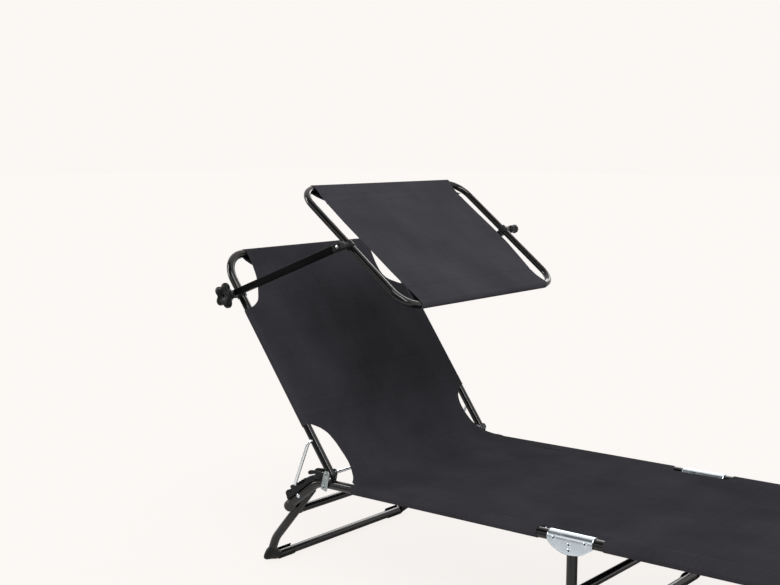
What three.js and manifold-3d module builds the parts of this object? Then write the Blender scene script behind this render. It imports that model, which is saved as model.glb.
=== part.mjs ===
// Folding three-part sun lounger with a tilting canopy.
// Millimetres, +Z up. +X runs from the head towards the foot and -Y is the near side.
// The origin is on the floor, under the middle of the whole lounger.

import * as THREE from 'three';
import { mergeVertices } from 'three/addons/utils/BufferGeometryUtils.js';
import Module from 'manifold-3d';

const wasm = await Module();
wasm.setup();

// Driving dimensions

const frameWidth = 575; // between the centre lines of the two side rails
const lyingHeight = 246; // floor to the rails' centre line
const seatLength = 644; // mid hinge to backrest pivot
const footLength = 650; // mid hinge to the bar at the foot end
const backLength = 577; // backrest pivot to the bar at its top
const backAngle = 55; // degrees above the seat, as it stands
const canopyLength = 380; // between the centre lines of the canopy's two bars
const canopyWidth = 570; // between the centre lines of its side tubes
const canopyPivot = 184; // centre line of its upper bar to the arms, down its slope
const canopyTilt = 37.5; // degrees, falling towards the foot end
const armLength = 364; // between the arm's two pivots
const armAngle = 20.6; // degrees above the floor
const armDrop = 104; // backrest's top bar to arm pivot, along the backrest

const railTube = 22; // outer diameters of the round steel tubes
const backTube = 19;
const legTube = 20;
const canopyTube = 16;
const strutRod = 7;

const clearance = 0.4; // between pieces that move or slide on each other
const seatGap = 0.3; // between pieces that are fixed to each other
const overrun = 5; // how far a cutter runs past what it cuts

// Rail, with its dip behind the backrest

const rail = {
  radius: railTube / 2,
  dipStart: 19, // past the backrest pivot
  dipRadius: 60,
  dipAngle: 37,
  tailLength: 98,
};

// Backrest hinge plates and rivets

const plate = {
  thickness: 2,
  pivotRise: 26, // backrest pivot above the rails' centre line
  topRadius: 9,
  footWidth: 20,
  footDrop: 12,
};

const rivet = {
  shank: 3,
  head: 5.5,
  headHeight: 1.8,
  crownShare: 0.6,
  rimShare: 0.4,
  collar: 7.75, // radius of the spacer between a rail and a folding leg
};

// Backrest

const back = {
  radius: backTube / 2,
  cornerRadius: 65,
  endPastPivot: 9,
};

// Strut and the toothed racks that it rests in

const strut = {
  radius: strutRod / 2,
  hookAt: 86, // from the backrest pivot, along the backrest
  bendRadius: 9,
  hookDepth: 16,
  sideGap: 1.5, // between the rack and the strut's side rods
  restAlong: 37, // place of the resting rod, along the tail and out from its centre line
  restOut: 24,
};

const rack = {
  width: 25,
  skirt: 3, // how far it reaches down the tube
  floorRise: 3, // notch floor above the tube
  toothRise: 8,
  endToothRise: 4.5,
  pitch: 10,
  toothTop: 3.4,
  toothFoot: 5.4,
  hornStart: 12.2, // underside of the horn above the tube
  hornThickness: 9,
  hornReach: 46,
  endMargin: 3,
  frontMargin: 1.5,
  rootWidth: 14,
};

// Legs

const leg = {
  radius: legTube / 2,
  railGap: 6.5, // between a rail and the folding leg beside it
  cornerRadius: 30,
  bendRadius: 60,
  tail: 12, // past the pivot
  barHeight: 12,
  stretcher: 19,
};

const headLeg = { along: 49, upperAngle: 48.6, upperLength: 172, lowerAngle: 65, stretcherAt: 69 };
const footLeg = { inset: 95, upperAngle: 64, upperLength: 150, lowerAngle: 76, stretcherAt: 69 };
const midLeg = { barHeight: 13, cornerRadius: 38, stretcherHeight: 131, topDrop: 2 };

const cap = {
  side: 3,
  reach: 62,
  outer: 3,
  topRise: 11,
};

// Mid hinge saddles

const saddle = {
  pivotHalf: 36,
  span: 108,
  wall: 1.8,
  drop: 30, // plate's lowest point under the rail's centre line
  shoulderDrop: 8,
  upperRivetDrop: 8,
  lowerRivetDrop: 20,
};

// Slings

const cloth = { thickness: 2.4, ease: 0.6 };

const seatCloth = {
  sleeveEnd: 74, // from the mid hinge
  slit: 6,
  sleeveStart: 68, // from the backrest pivot
  cutOut: 50, // from the rail's centre line to the cut-out's inner edge
  cutLength: 48,
  tongueStart: 104,
  tongueRadius: 180,
  tongueAngle: 38,
  hingeInset: 21,
};

const footCloth = { sleeveEnd: 110, cornerInset: 90, cornerCut: 96 };

const backCloth = {
  panelStart: 65, // from the backrest pivot
  sleeveStart: 124,
  sleeveTop: 147, // from the top bar
  lowerInset: 50,
  lowerCut: 42,
  notchInset: 78,
  notchLength: 66,
};

const canopyCloth = { thickness: 1.6, barHalf: 228, panelHalf: 238 };

// Canopy arms, clamps, bolts and knobs

const arm = { width: 15, thickness: 15, gap: 11.5 };

const bracket = { radius: 14, span: 36, bossRadius: 12 };

const clamp = { radius: 12, span: 26, bossRadius: 9 };

const armBolt = { radius: 4, tail: 14 };
const canopyBolt = { radius: 3, head: 6, headHeight: 3, tail: 9 };

const starKnob = {
  radius: 27,
  lobes: 6,
  valleyShare: 0.66,
  thickness: 16,
  hubRadius: 11,
  hubLength: 11,
  edge: 2.5,
};

const smallKnob = {
  radius: 11,
  lobes: 12,
  valleyShare: 0.92,
  thickness: 11,
  hubRadius: 7,
  hubLength: 3,
  edge: 1.2,
};

const cornerRadiusOfCanopy = 50;

const facets = { rail: 12, tube: 12, rod: 8, bore: 16, rivet: 8, knobArc: 4, band: 7, bend: 15 };

// Places worked out from the dimensions above

const rad = THREE.MathUtils.degToRad;
const half = 0.5;
const tinyShare = 1e-9; // of a path's step, to settle rounding
const halfWidth = frameWidth * half;
const armSeat = backLength - armDrop; // from the backrest pivot
const legFace = halfWidth - rail.radius - leg.railGap; // outer side of a folding leg's tube
const legMiddle = legFace - leg.radius;
const backPivot = new THREE.Vector3(-seatLength, 0, lyingHeight + plate.pivotRise);
const sides = [['near', -1], ['far', 1]];

const material = (color, roughness, metalness) =>
  new THREE.MeshStandardMaterial({ color, roughness, metalness });

const finish = {
  blackSteel: material('#1c1b1d', 0.32, 0.55),
  zinc: material('#b9bec2', 0.35, 0.9),
  plastic: material('#242427', 0.55, 0),
  cloth: material('#2c2c31', 0.85, 0),
};

// Paths and solids

// A path of straight runs joined by round bends. It steps from station to station,
// so a tube along it has rings only where it bends.
class BentPath extends THREE.Curve {
  constructor(corners, radii, closed = false) {
    super();
    this.closed = closed;
    this.stations = [];
    const count = corners.length;
    const radiusAt = (i) => (Array.isArray(radii) ? radii[i] : radii);
    const arc = (before, corner, after, radius) => {
      const into = corner.clone().sub(before).normalize();
      const out = after.clone().sub(corner).normalize();
      const turn = into.angleTo(out);
      const inward = out.clone().addScaledVector(into, -Math.cos(turn)).divideScalar(Math.sin(turn));
      const start = corner.clone().addScaledVector(into, -radius * Math.tan(turn * half));
      const steps = Math.max(Math.ceil(turn / rad(facets.bend)), 2);
      for (let i = 0; i <= steps; i += 1) {
        const angle = (turn * i) / steps;
        const point = start.clone().addScaledVector(into, radius * Math.sin(angle));
        point.addScaledVector(inward, radius * (1 - Math.cos(angle)));
        const tangent = into.clone().multiplyScalar(Math.cos(angle));
        tangent.addScaledVector(inward, Math.sin(angle));
        this.stations.push({ point, tangent });
      }
    };
    if (closed) {
      corners.forEach((corner, i) => {
        arc(corners[(i + count - 1) % count], corner, corners[(i + 1) % count], radiusAt(i));
      });
      return;
    }
    const first = corners[1].clone().sub(corners[0]).normalize();
    this.stations.push({ point: corners[0].clone(), tangent: first });
    for (let i = 1; i < count - 1; i += 1) {
      arc(corners[i - 1], corners[i], corners[i + 1], radiusAt(i - 1));
    }
    const last = corners[count - 1].clone().sub(corners[count - 2]).normalize();
    this.stations.push({ point: corners[count - 1].clone(), tangent: last });
  }

  get steps() {
    return this.closed ? this.stations.length : this.stations.length - 1;
  }

  between(t, key) {
    const place = t * this.steps;
    const count = this.stations.length;
    const low = Math.min(Math.floor(place + tinyShare), this.steps);
    const from = this.stations[low % count][key];
    const to = this.stations[Math.min(low + 1, this.steps) % count][key];
    return from.clone().lerp(to, Math.max(place - low, 0));
  }

  getPoint(t) {
    return this.between(t, 'point');
  }

  getTangent(t) {
    return this.between(t, 'tangent').normalize();
  }

  getUtoTmapping(u) {
    return u;
  }
}

const circle = (radius) => {
  const shape = new THREE.Shape();
  shape.absarc(0, 0, radius, 0, 2 * Math.PI, false);
  return shape;
};

// A round bar or tube along a path.
const tubeAlong = (path, radius, count = facets.tube) => {
  if (path.closed) return new THREE.TubeGeometry(path, path.steps, radius, count, true);
  return new THREE.ExtrudeGeometry(circle(radius), {
    extrudePath: path,
    steps: path.steps,
    curveSegments: count * half,
    bevelEnabled: false,
  });
};

const solidOf = (geometry) => {
  const bare = geometry.clone();
  bare.deleteAttribute('normal');
  bare.deleteAttribute('uv');
  const merged = mergeVertices(bare);
  const corners = merged.index.array;
  const kept = [];
  for (let i = 0; i < corners.length; i += 3) {
    const [a, b, c] = [corners[i], corners[i + 1], corners[i + 2]];
    if (a !== b && b !== c && c !== a) kept.push(a, b, c);
  }
  return new wasm.Manifold(new wasm.Mesh({
    numProp: 3,
    vertProperties: new Float32Array(merged.attributes.position.array),
    triVerts: new Uint32Array(kept),
  }));
};

const geometryOf = (solid) => {
  const mesh = solid.getMesh();
  const geometry = new THREE.BufferGeometry();
  geometry.setAttribute('position', new THREE.BufferAttribute(mesh.vertProperties, mesh.numProp));
  geometry.setIndex(new THREE.BufferAttribute(mesh.triVerts, 1));
  geometry.computeVertexNormals();
  return geometry;
};

const joined = (...geometries) => geometryOf(
  geometries.map(solidOf).reduce((whole, next) => whole.add(next)),
);

const cut = (geometry, ...cutters) => geometryOf(
  cutters.map(solidOf).reduce((whole, next) => whole.subtract(next), solidOf(geometry)),
);

const common = (a, b) => geometryOf(solidOf(a).intersect(solidOf(b)));

// A shape drawn in X and Z, carried across from y0 to y1.
const acrossY = (shape, y0, y1, curveSegments = facets.band) => {
  const depth = Math.abs(y1 - y0);
  const geometry = new THREE.ExtrudeGeometry(shape, { depth, bevelEnabled: false, curveSegments });
  return geometry.rotateX(Math.PI * half).translate(0, Math.max(y0, y1), 0);
};

// A shape drawn in Y and Z, carried along from x0 to x1.
const alongX = (shape, x0, x1, curveSegments = facets.band) => {
  const depth = Math.abs(x1 - x0);
  const geometry = new THREE.ExtrudeGeometry(shape, { depth, bevelEnabled: false, curveSegments });
  const turn = new THREE.Matrix4().makeBasis(
    new THREE.Vector3(0, 1, 0),
    new THREE.Vector3(0, 0, 1),
    new THREE.Vector3(1, 0, 0),
  );
  return geometry.applyMatrix4(turn).translate(Math.min(x0, x1), 0, 0);
};

// A shape drawn in X and Y, carried up from z0 to z1.
const upZ = (shape, z0, z1, curveSegments = facets.band) => {
  const geometry = new THREE.ExtrudeGeometry(shape, { depth: z1 - z0, bevelEnabled: false, curveSegments });
  return geometry.translate(0, 0, z0);
};

// A round pin along Y, from y0 to y1.
const pinY = (radius, y0, y1, x = 0, z = 0, count = facets.rivet) => {
  const geometry = new THREE.CylinderGeometry(radius, radius, Math.abs(y1 - y0), count);
  return geometry.translate(x, (y0 + y1) * half, z);
};

// A rivet along Y between two faces, with a head on each.
const rivetBetween = (y0, y1) => {
  const low = Math.min(y0, y1);
  const high = Math.max(y0, y1);
  const { shank, head, headHeight, crownShare, rimShare } = rivet;
  const profile = [
    [0, low - headHeight],
    [head * crownShare, low - headHeight],
    [head, low - headHeight * rimShare],
    [head, low],
    [shank, low],
    [shank, high],
    [head, high],
    [head, high + headHeight * rimShare],
    [head * crownShare, high + headHeight],
    [0, high + headHeight],
  ].map(([x, y]) => new THREE.Vector2(x, y));
  return new THREE.LatheGeometry(profile, facets.rivet);
};

const meshOf = (name, geometry, finishOfPiece) => {
  const mesh = new THREE.Mesh(geometry, finishOfPiece);
  mesh.name = name;
  return mesh;
};

const groupAt = (parent, x, z, turn = 0) => {
  const group = new THREE.Group();
  group.position.set(x, 0, z);
  group.rotation.y = turn;
  parent.add(group);
  return group;
};

// Rail line

// The place at a run past the dip's start and a distance out from the rail's centre line.
const dipPlace = (run, out) => {
  const startX = -(seatLength + rail.dipStart);
  const bend = rad(rail.dipAngle);
  const bendRun = rail.dipRadius * bend;
  if (run <= 0) return new THREE.Vector2(startX - run, lyingHeight + out);
  const angle = Math.min(run / rail.dipRadius, bend);
  const past = Math.max(run - bendRun, 0);
  const reach = (rail.dipRadius + out) * Math.sin(angle) + past * Math.cos(bend);
  const fall = rail.dipRadius - (rail.dipRadius + out) * Math.cos(angle) + past * Math.sin(bend);
  return new THREE.Vector2(startX - reach, lyingHeight - fall);
};

const bendRun = rail.dipRadius * rad(rail.dipAngle);
const tailEnd = bendRun + rail.tailLength;
const dipCorner = rail.dipRadius * Math.tan(rad(rail.dipAngle) * half);

const railPath = (y, endX) => {
  const end = dipPlace(tailEnd, 0);
  const cornerX = -(seatLength + rail.dipStart + dipCorner);
  return new BentPath([
    new THREE.Vector3(endX, y, lyingHeight),
    new THREE.Vector3(cornerX, y, lyingHeight),
    new THREE.Vector3(end.x, y, end.y),
  ], rail.dipRadius);
};

// A ball that rounds a rail's end at its pivot.
const roundEnd = (x, y) => {
  const ball = new THREE.SphereGeometry(rail.radius, facets.rail, facets.rail * half);
  return ball.rotateZ(Math.PI * half).translate(x, y, lyingHeight);
};

const rivetHole = (x, z, y, width) => pinY(rivet.shank + clearance, y - width, y + width, x, z);

const headPivot = dipPlace(bendRun + headLeg.along, 0);
const footPivot = new THREE.Vector2(footLength - footLeg.inset, lyingHeight);

const seatRail = (y) => cut(
  joined(
    tubeAlong(railPath(y, -saddle.pivotHalf), rail.radius, facets.rail),
    roundEnd(-saddle.pivotHalf, y),
  ),
  rivetHole(-saddle.pivotHalf, lyingHeight, y, railTube),
  rivetHole(backPivot.x, lyingHeight, y, railTube),
  rivetHole(headPivot.x, headPivot.y, y, railTube),
);

const lounger = new THREE.Group();

// Seat frame

const seatFrame = groupAt(lounger, 0, 0);

const plateOutline = () => {
  const shape = new THREE.Shape();
  const footZ = lyingHeight - plate.footDrop;
  const foot = plate.footWidth * half;
  shape.moveTo(backPivot.x - foot, footZ);
  shape.lineTo(backPivot.x + foot, footZ);
  shape.lineTo(backPivot.x + plate.topRadius, backPivot.z);
  shape.absarc(backPivot.x, backPivot.z, plate.topRadius, 0, Math.PI, false);
  return shape;
};

const plateGap = rail.radius + clearance; // from the rail's centre line to a plate's inner face
const plateFace = plateGap + plate.thickness;

const hingePlate = (y0, y1) => cut(
  acrossY(plateOutline(), y0, y1, facets.tube * half),
  rivetHole(backPivot.x, backPivot.z, (y0 + y1) * half, plateFace),
  rivetHole(backPivot.x, lyingHeight, (y0 + y1) * half, plateFace),
);

// The rack's outline follows the rail's dip: a cheek line below, notches and a horn above.
const rackOutline = () => {
  const floor = rail.radius + rack.floorRise;
  const lower = rail.radius - rack.skirt;
  const front = -(rail.dipStart - plate.footWidth * half - rack.frontMargin);
  const end = tailEnd - rack.endMargin;
  const hornLow = rail.radius + rack.hornStart;
  const hornHigh = hornLow + rack.hornThickness;
  const points = [];
  const stepsOfBend = facets.band;
  points.push(dipPlace(front, lower));
  for (let i = 0; i <= stepsOfBend; i += 1) points.push(dipPlace((bendRun * i) / stepsOfBend, lower));
  points.push(dipPlace(end, lower));
  const restRun = bendRun + strut.restAlong;
  const first = Math.ceil((bendRun - restRun) / rack.pitch) + 1;
  const last = Math.floor((end - restRun) / rack.pitch) - 1;
  points.push(dipPlace(end, floor));
  for (let i = last; i >= first; i -= 1) {
    const middle = restRun + (i + half) * rack.pitch;
    const rise = i === last || i === first ? rack.endToothRise : rack.toothRise;
    const inner = i >= 0 ? rack.toothTop * half : rack.toothFoot * half;
    points.push(dipPlace(middle + rack.toothFoot * half, floor));
    points.push(dipPlace(middle + inner, rail.radius + rise));
    points.push(dipPlace(middle - rack.toothTop * half, rail.radius + rise));
    points.push(dipPlace(middle - rack.toothFoot * half, floor));
  }
  const hornRun = rack.hornReach + front;
  for (let i = stepsOfBend; i >= 0; i -= 1) {
    const run = (bendRun * i) / stepsOfBend;
    if (run > front + rack.rootWidth) points.push(dipPlace(run, floor));
  }
  points.push(dipPlace(front + rack.rootWidth, floor));
  points.push(dipPlace(front + rack.rootWidth, hornLow));
  points.push(dipPlace(hornRun * half, hornLow));
  points.push(dipPlace(hornRun, hornLow));
  points.push(dipPlace(hornRun, hornHigh - rack.toothTop));
  points.push(dipPlace(hornRun - rack.toothTop, hornHigh));
  points.push(dipPlace(hornRun * half, hornHigh));
  points.push(dipPlace(front, hornHigh));
  return new THREE.Shape(points);
};

// The horn is two cheeks: the backrest tube lies between them when it is let down flat.
const cheekSlot = () => {
  const floor = rail.radius + rack.floorRise;
  const high = floor + rack.hornStart + 2 * rack.hornThickness;
  const front = -2 * rail.dipStart;
  const reach = bendRun + rack.pitch;
  const points = [dipPlace(front, high), dipPlace(front, floor), dipPlace(0, floor)];
  for (let i = 1; i <= facets.band; i += 1) points.push(dipPlace((bendRun * i) / facets.band, floor));
  points.push(dipPlace(reach, floor), dipPlace(reach, high));
  return new THREE.Shape(points);
};

const notchRack = (y) => cut(
  acrossY(rackOutline(), y - rack.width * half, y + rack.width * half),
  acrossY(cheekSlot(), y - back.radius - clearance, y + back.radius + clearance),
  tubeAlong(railPath(y, 0), rail.radius + seatGap, facets.bore),
);


// A rivet that carries a leg: its collar keeps the leg clear of the rail.
const legRivet = (side) => {
  const outer = halfWidth + rail.radius + seatGap;
  const inner = legMiddle - leg.radius - seatGap;
  const collarOut = halfWidth - rail.radius - seatGap;
  const collarIn = legFace + seatGap;
  return joined(
    rivetBetween(side * outer, side * inner),
    pinY(rivet.collar, side * collarOut, side * collarIn),
  );
};

const plugShape = () => {
  const { radius } = rail;
  const profile = [
    [0, 0],
    [radius, 0],
    [radius, rivet.headHeight],
    [radius * rivet.crownShare, 2 * rivet.headHeight],
    [0, 2 * rivet.headHeight],
  ].map(([x, y]) => new THREE.Vector2(x, y));
  return new THREE.LatheGeometry(profile, facets.rail);
};

for (const [name, side] of sides) {
  const y = side * halfWidth;
  seatFrame.add(meshOf(`seat_rail_${name}`, seatRail(y), finish.blackSteel));
  const outerPlate = hingePlate(y + side * plateGap, y + side * plateFace);
  const innerPlate = hingePlate(y - side * plateGap, y - side * plateFace);
  seatFrame.add(meshOf(`hinge_plate_outer_${name}`, outerPlate, finish.zinc));
  seatFrame.add(meshOf(`hinge_plate_inner_${name}`, innerPlate, finish.zinc));

  const reach = plateFace + seatGap;
  const pivotRivet = rivetBetween(y - reach, y + reach).translate(backPivot.x, 0, backPivot.z);
  const plateRivet = rivetBetween(y - reach, y + reach).translate(backPivot.x, 0, lyingHeight);
  seatFrame.add(meshOf(`backrest_pivot_rivet_${name}`, pivotRivet, finish.zinc));
  seatFrame.add(meshOf(`plate_rivet_${name}`, plateRivet, finish.zinc));

  seatFrame.add(meshOf(`notch_rack_${name}`, notchRack(y), finish.plastic));

  const headRivet = legRivet(side).translate(headPivot.x, 0, headPivot.y);
  seatFrame.add(meshOf(`head_leg_rivet_${name}`, headRivet, finish.zinc));

  const end = dipPlace(tailEnd + seatGap, 0);
  const plug = plugShape().rotateZ(Math.PI * half).rotateY(-rad(rail.dipAngle)).translate(end.x, y, end.y);
  seatFrame.add(meshOf(`rail_plug_${name}`, plug, finish.plastic));
}

// Sling cloth

// The outside of a sleeve of cloth round a tube.
const sleeveX = (radius, y, x0, x1, z) => {
  const section = circle(radius + cloth.ease + cloth.thickness);
  return alongX(section, x0, x1, facets.bore * half).translate(0, y, z);
};

const boreX = (radius, y, x0, x1, z) => {
  const bore = radius + cloth.ease;
  const reach = Math.abs(x1 - x0) + 2 * overrun;
  const run = new THREE.CylinderGeometry(bore, bore, reach, facets.bore);
  return run.rotateZ(Math.PI * half).translate((x0 + x1) * half, y, z);
};

// A side cut-out, open to the outside: its inner edge is at |y| = inner and swings out to
// the rail between xCurve and xRail.
const sideCut = (side, inner, outer, xEnd, xCurve, xRail) => {
  const shape = new THREE.Shape();
  shape.moveTo(xEnd, side * inner);
  shape.lineTo(xCurve, side * inner);
  shape.quadraticCurveTo(xRail, side * inner, xRail, side * outer);
  shape.lineTo(xEnd, side * outer);
  return shape;
};

const cutThrough = (shape, z) => upZ(shape, z - seatCloth.tongueRadius, z + seatCloth.tongueRadius);

const railSleeve = rail.radius + cloth.ease + cloth.thickness;
const outerEdge = halfWidth + railSleeve + overrun;

const seatSling = () => {
  const top = lyingHeight + railSleeve;
  const tongueX = -(seatLength - seatCloth.tongueStart);
  const sweep = rad(seatCloth.tongueAngle);
  const straight = -Math.PI * half;
  const band = new THREE.Shape();
  band.moveTo(-seatCloth.slit, top);
  band.lineTo(-seatCloth.slit, top - cloth.thickness);
  band.lineTo(tongueX, top - cloth.thickness);
  const centreZ = top + seatCloth.tongueRadius;
  const outer = seatCloth.tongueRadius + cloth.thickness;
  band.absarc(tongueX, centreZ, outer, straight, straight - sweep, true);
  band.absarc(tongueX, centreZ, seatCloth.tongueRadius, straight - sweep, straight, false);
  const sleeveX0 = -(seatLength - seatCloth.sleeveStart);
  const sleeveX1 = -seatCloth.sleeveEnd;
  const pieces = [acrossY(band, -halfWidth, halfWidth)];
  const cutters = [];
  for (const [, side] of sides) {
    const y = side * halfWidth;
    pieces.push(sleeveX(rail.radius, y, sleeveX0, sleeveX1, lyingHeight));
    cutters.push(boreX(rail.radius, y, sleeveX0, sleeveX1, lyingHeight));
    const inner = halfWidth - seatCloth.cutOut;
    const headEnd = -(seatLength + seatCloth.tongueStart);
    const curve = sleeveX0 - seatCloth.cutLength;
    cutters.push(cutThrough(sideCut(side, inner, outerEdge, headEnd, curve, sleeveX0), top));
    const nearHinge = halfWidth - seatCloth.hingeInset;
    const slitCurve = sleeveX1 + overrun;
    cutters.push(cutThrough(sideCut(side, nearHinge, outerEdge, overrun, slitCurve, sleeveX1), top));
  }
  return cut(joined(...pieces), ...cutters);
};

seatFrame.add(meshOf('seat_sling', seatSling(), finish.cloth));

// Backrest, drawn as if it lay flat behind its pivot

const backrest = groupAt(lounger, backPivot.x, backPivot.z, rad(backAngle));

const backPath = new BentPath([
  new THREE.Vector3(back.endPastPivot, -halfWidth, 0),
  new THREE.Vector3(-backLength, -halfWidth, 0),
  new THREE.Vector3(-backLength, halfWidth, 0),
  new THREE.Vector3(back.endPastPivot, halfWidth, 0),
], back.cornerRadius);

const hookReach = halfWidth - strut.hookDepth * half;
const armInner = halfWidth + back.radius + arm.gap;
const armOuter = armInner + arm.thickness;

const backHoles = sides.flatMap(([, side]) => {
  const inner = side * (halfWidth - railTube);
  const outer = side * (halfWidth + railTube);
  return [
    pinY(rivet.shank + clearance, inner, outer),
    pinY(strut.radius + clearance, side * (hookReach - clearance), outer, -strut.hookAt),
    pinY(armBolt.radius + clearance, inner, outer, -armSeat),
  ];
});

const backTubes = cut(tubeAlong(backPath, back.radius), ...backHoles);
backrest.add(meshOf('backrest_frame', backTubes, finish.blackSteel));

const backSling = () => {
  const top = back.radius + cloth.ease + cloth.thickness;
  const panel = new THREE.Shape();
  panel.moveTo(-backCloth.panelStart, top);
  panel.lineTo(-backLength, top);
  panel.lineTo(-backLength, top - cloth.thickness);
  panel.lineTo(-backCloth.panelStart, top - cloth.thickness);
  const topSleeve = new THREE.Shape();
  topSleeve.absarc(-backLength, 0, top, 0, 2 * Math.PI, false);
  const topHalf = halfWidth - backCloth.notchInset;
  const sleeveEnd = backLength - backCloth.sleeveTop;
  const pieces = [
    acrossY(panel, -halfWidth, halfWidth),
    acrossY(topSleeve, -topHalf, topHalf, facets.bore * half),
  ];
  const bar = back.radius + cloth.ease;
  const cutters = [pinY(bar, -halfWidth, halfWidth, -backLength, 0, facets.bore)];
  for (const [, side] of sides) {
    const y = side * halfWidth;
    pieces.push(sleeveX(back.radius, y, -sleeveEnd, -backCloth.sleeveStart, 0));
    cutters.push(boreX(back.radius, y, -sleeveEnd, -backCloth.sleeveStart, 0));
    const lower = halfWidth - backCloth.lowerInset;
    const lowCurve = -(backCloth.sleeveStart - backCloth.lowerCut);
    cutters.push(cutThrough(sideCut(side, lower, outerEdge, 0, lowCurve, -backCloth.sleeveStart), 0));
    const notchCurve = -(sleeveEnd + backCloth.notchLength);
    const beyond = -(backLength + backTube);
    cutters.push(cutThrough(sideCut(side, topHalf, outerEdge, beyond, notchCurve, -sleeveEnd), 0));
  }
  return cut(joined(...pieces), ...cutters);
};

backrest.add(meshOf('back_sling', backSling(), finish.cloth));

// A collar round a tube with a boss along Y that carries the arm.
const collar = (size, tubeRadius, boltRadius, side, tubeY, bossFace) => cut(
  joined(
    alongX(circle(size.radius), -size.span * half, size.span * half, facets.tube * half)
      .translate(0, side * tubeY, 0),
    pinY(size.bossRadius, side * tubeY, side * bossFace, 0, 0, facets.tube),
  ),
  boreX(tubeRadius - cloth.ease + seatGap, side * tubeY, -size.span * half, size.span * half, 0),
  pinY(boltRadius + clearance, side * (tubeY - 2 * size.radius), side * (bossFace + overrun)),
);

for (const [name, side] of sides) {
  const bracketShape = collar(bracket, back.radius, armBolt.radius, side, halfWidth, armInner - clearance);
  backrest.add(meshOf(`arm_bracket_${name}`, bracketShape.translate(-armSeat, 0, 0), finish.plastic));
  const boltEnd = armOuter + clearance + starKnob.hubLength + armBolt.tail * half;
  const bolt = pinY(armBolt.radius, side * (halfWidth - bracket.radius), side * boltEnd, -armSeat);
  backrest.add(meshOf(`arm_bolt_${name}`, bolt, finish.zinc));
}

// Strut, hung from the backrest tubes and resting in the racks

const hook = new THREE.Vector2(
  backPivot.x - strut.hookAt * Math.cos(rad(backAngle)),
  backPivot.z + strut.hookAt * Math.sin(rad(backAngle)),
);
const rodPlace = dipPlace(bendRun + strut.restAlong, strut.restOut);
const strutLength = hook.distanceTo(rodPlace);
const strutLean = Math.atan2(hook.x - rodPlace.x, hook.y - rodPlace.y);
const strutSide = halfWidth + rack.width * half + strut.sideGap + strut.radius;

const strutGroup = groupAt(backrest, -strut.hookAt, 0, strutLean - rad(backAngle));

const strutPath = new BentPath([
  new THREE.Vector3(0, -hookReach, 0),
  new THREE.Vector3(0, -strutSide, 0),
  new THREE.Vector3(0, -strutSide, -strutLength),
  new THREE.Vector3(0, strutSide, -strutLength),
  new THREE.Vector3(0, strutSide, 0),
  new THREE.Vector3(0, hookReach, 0),
], strut.bendRadius);

strutGroup.add(meshOf('backrest_strut', tubeAlong(strutPath, strut.radius, facets.rod), finish.zinc));

// Canopy arms

const arms = groupAt(backrest, -armSeat, 0, -rad(armAngle) - rad(backAngle));

const armOutline = () => {
  const shape = new THREE.Shape();
  const radius = arm.width * half;
  shape.absarc(armLength, 0, radius, -Math.PI * half, Math.PI * half, false);
  shape.absarc(0, 0, radius, Math.PI * half, 3 * Math.PI * half, false);
  return shape;
};

for (const [name, side] of sides) {
  const bar = cut(
    acrossY(armOutline(), side * armInner, side * armOuter),
    pinY(armBolt.radius + clearance, side * (armInner - overrun), side * (armOuter + overrun)),
    pinY(canopyBolt.radius + clearance, side * (armInner - overrun), side * (armOuter + overrun), armLength),
  );
  arms.add(meshOf(`canopy_arm_${name}`, bar, finish.blackSteel));
}

// A knob with rounded lobes, whose hub faces the arm.
const lobedOutline = (size) => {
  const shape = new THREE.Shape();
  const points = [];
  const count = size.lobes * facets.knobArc * 2;
  const middle = size.radius * (1 + size.valleyShare) * half;
  const swing = size.radius * (1 - size.valleyShare) * half;
  for (let i = 0; i < count; i += 1) {
    const angle = (2 * Math.PI * i) / count;
    const radius = middle + swing * Math.cos(size.lobes * angle);
    points.push(new THREE.Vector2(radius * Math.cos(angle), radius * Math.sin(angle)));
  }
  shape.setFromPoints(points);
  return shape;
};

const knob = (size, boltRadius, side, hubFace, boltEnd) => {
  const body = new THREE.ExtrudeGeometry(lobedOutline(size), {
    depth: size.thickness - 2 * size.edge,
    bevelEnabled: true,
    bevelThickness: size.edge,
    bevelSize: size.edge,
    bevelOffset: -size.edge,
    bevelSegments: 1,
  });
  const inner = hubFace + size.hubLength;
  body.rotateX(Math.PI * half);
  body.translate(0, side > 0 ? inner + size.thickness - size.edge : -(inner + size.edge), 0);
  return cut(
    joined(body, pinY(size.hubRadius, side * hubFace, side * (inner + size.edge * 2), 0, 0, facets.tube)),
    pinY(boltRadius + clearance, side * (hubFace - overrun), side * (boltEnd + clearance)),
  );
};

for (const [name, side] of sides) {
  const hubFace = armOuter + clearance;
  const boltEnd = hubFace + starKnob.hubLength + armBolt.tail * half;
  const shape = knob(starKnob, armBolt.radius, side, hubFace, boltEnd);
  backrest.add(meshOf(`arm_knob_${name}`, shape.translate(-armSeat, 0, 0), finish.plastic));
}

// Canopy

const canopy = groupAt(arms, armLength, 0, rad(canopyTilt) + rad(armAngle));
const canopyHigh = -canopyPivot; // the upper bar, along the canopy from its pivots
const canopyLow = canopyLength - canopyPivot;
const canopySide = canopyWidth * half;
const canopyRadius = canopyTube * half;

const canopyPath = new BentPath([
  new THREE.Vector3(canopyHigh, -canopySide, 0),
  new THREE.Vector3(canopyLow, -canopySide, 0),
  new THREE.Vector3(canopyLow, canopySide, 0),
  new THREE.Vector3(canopyHigh, canopySide, 0),
], cornerRadiusOfCanopy, true);

const canopyHoles = sides.map(([, side]) => pinY(
  canopyBolt.radius + clearance,
  side * (canopySide - 2 * canopyRadius),
  side * (canopySide + 2 * canopyRadius),
));

const canopyLoop = cut(tubeAlong(canopyPath, canopyRadius), ...canopyHoles);
canopy.add(meshOf('canopy_frame', canopyLoop, finish.blackSteel));

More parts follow.
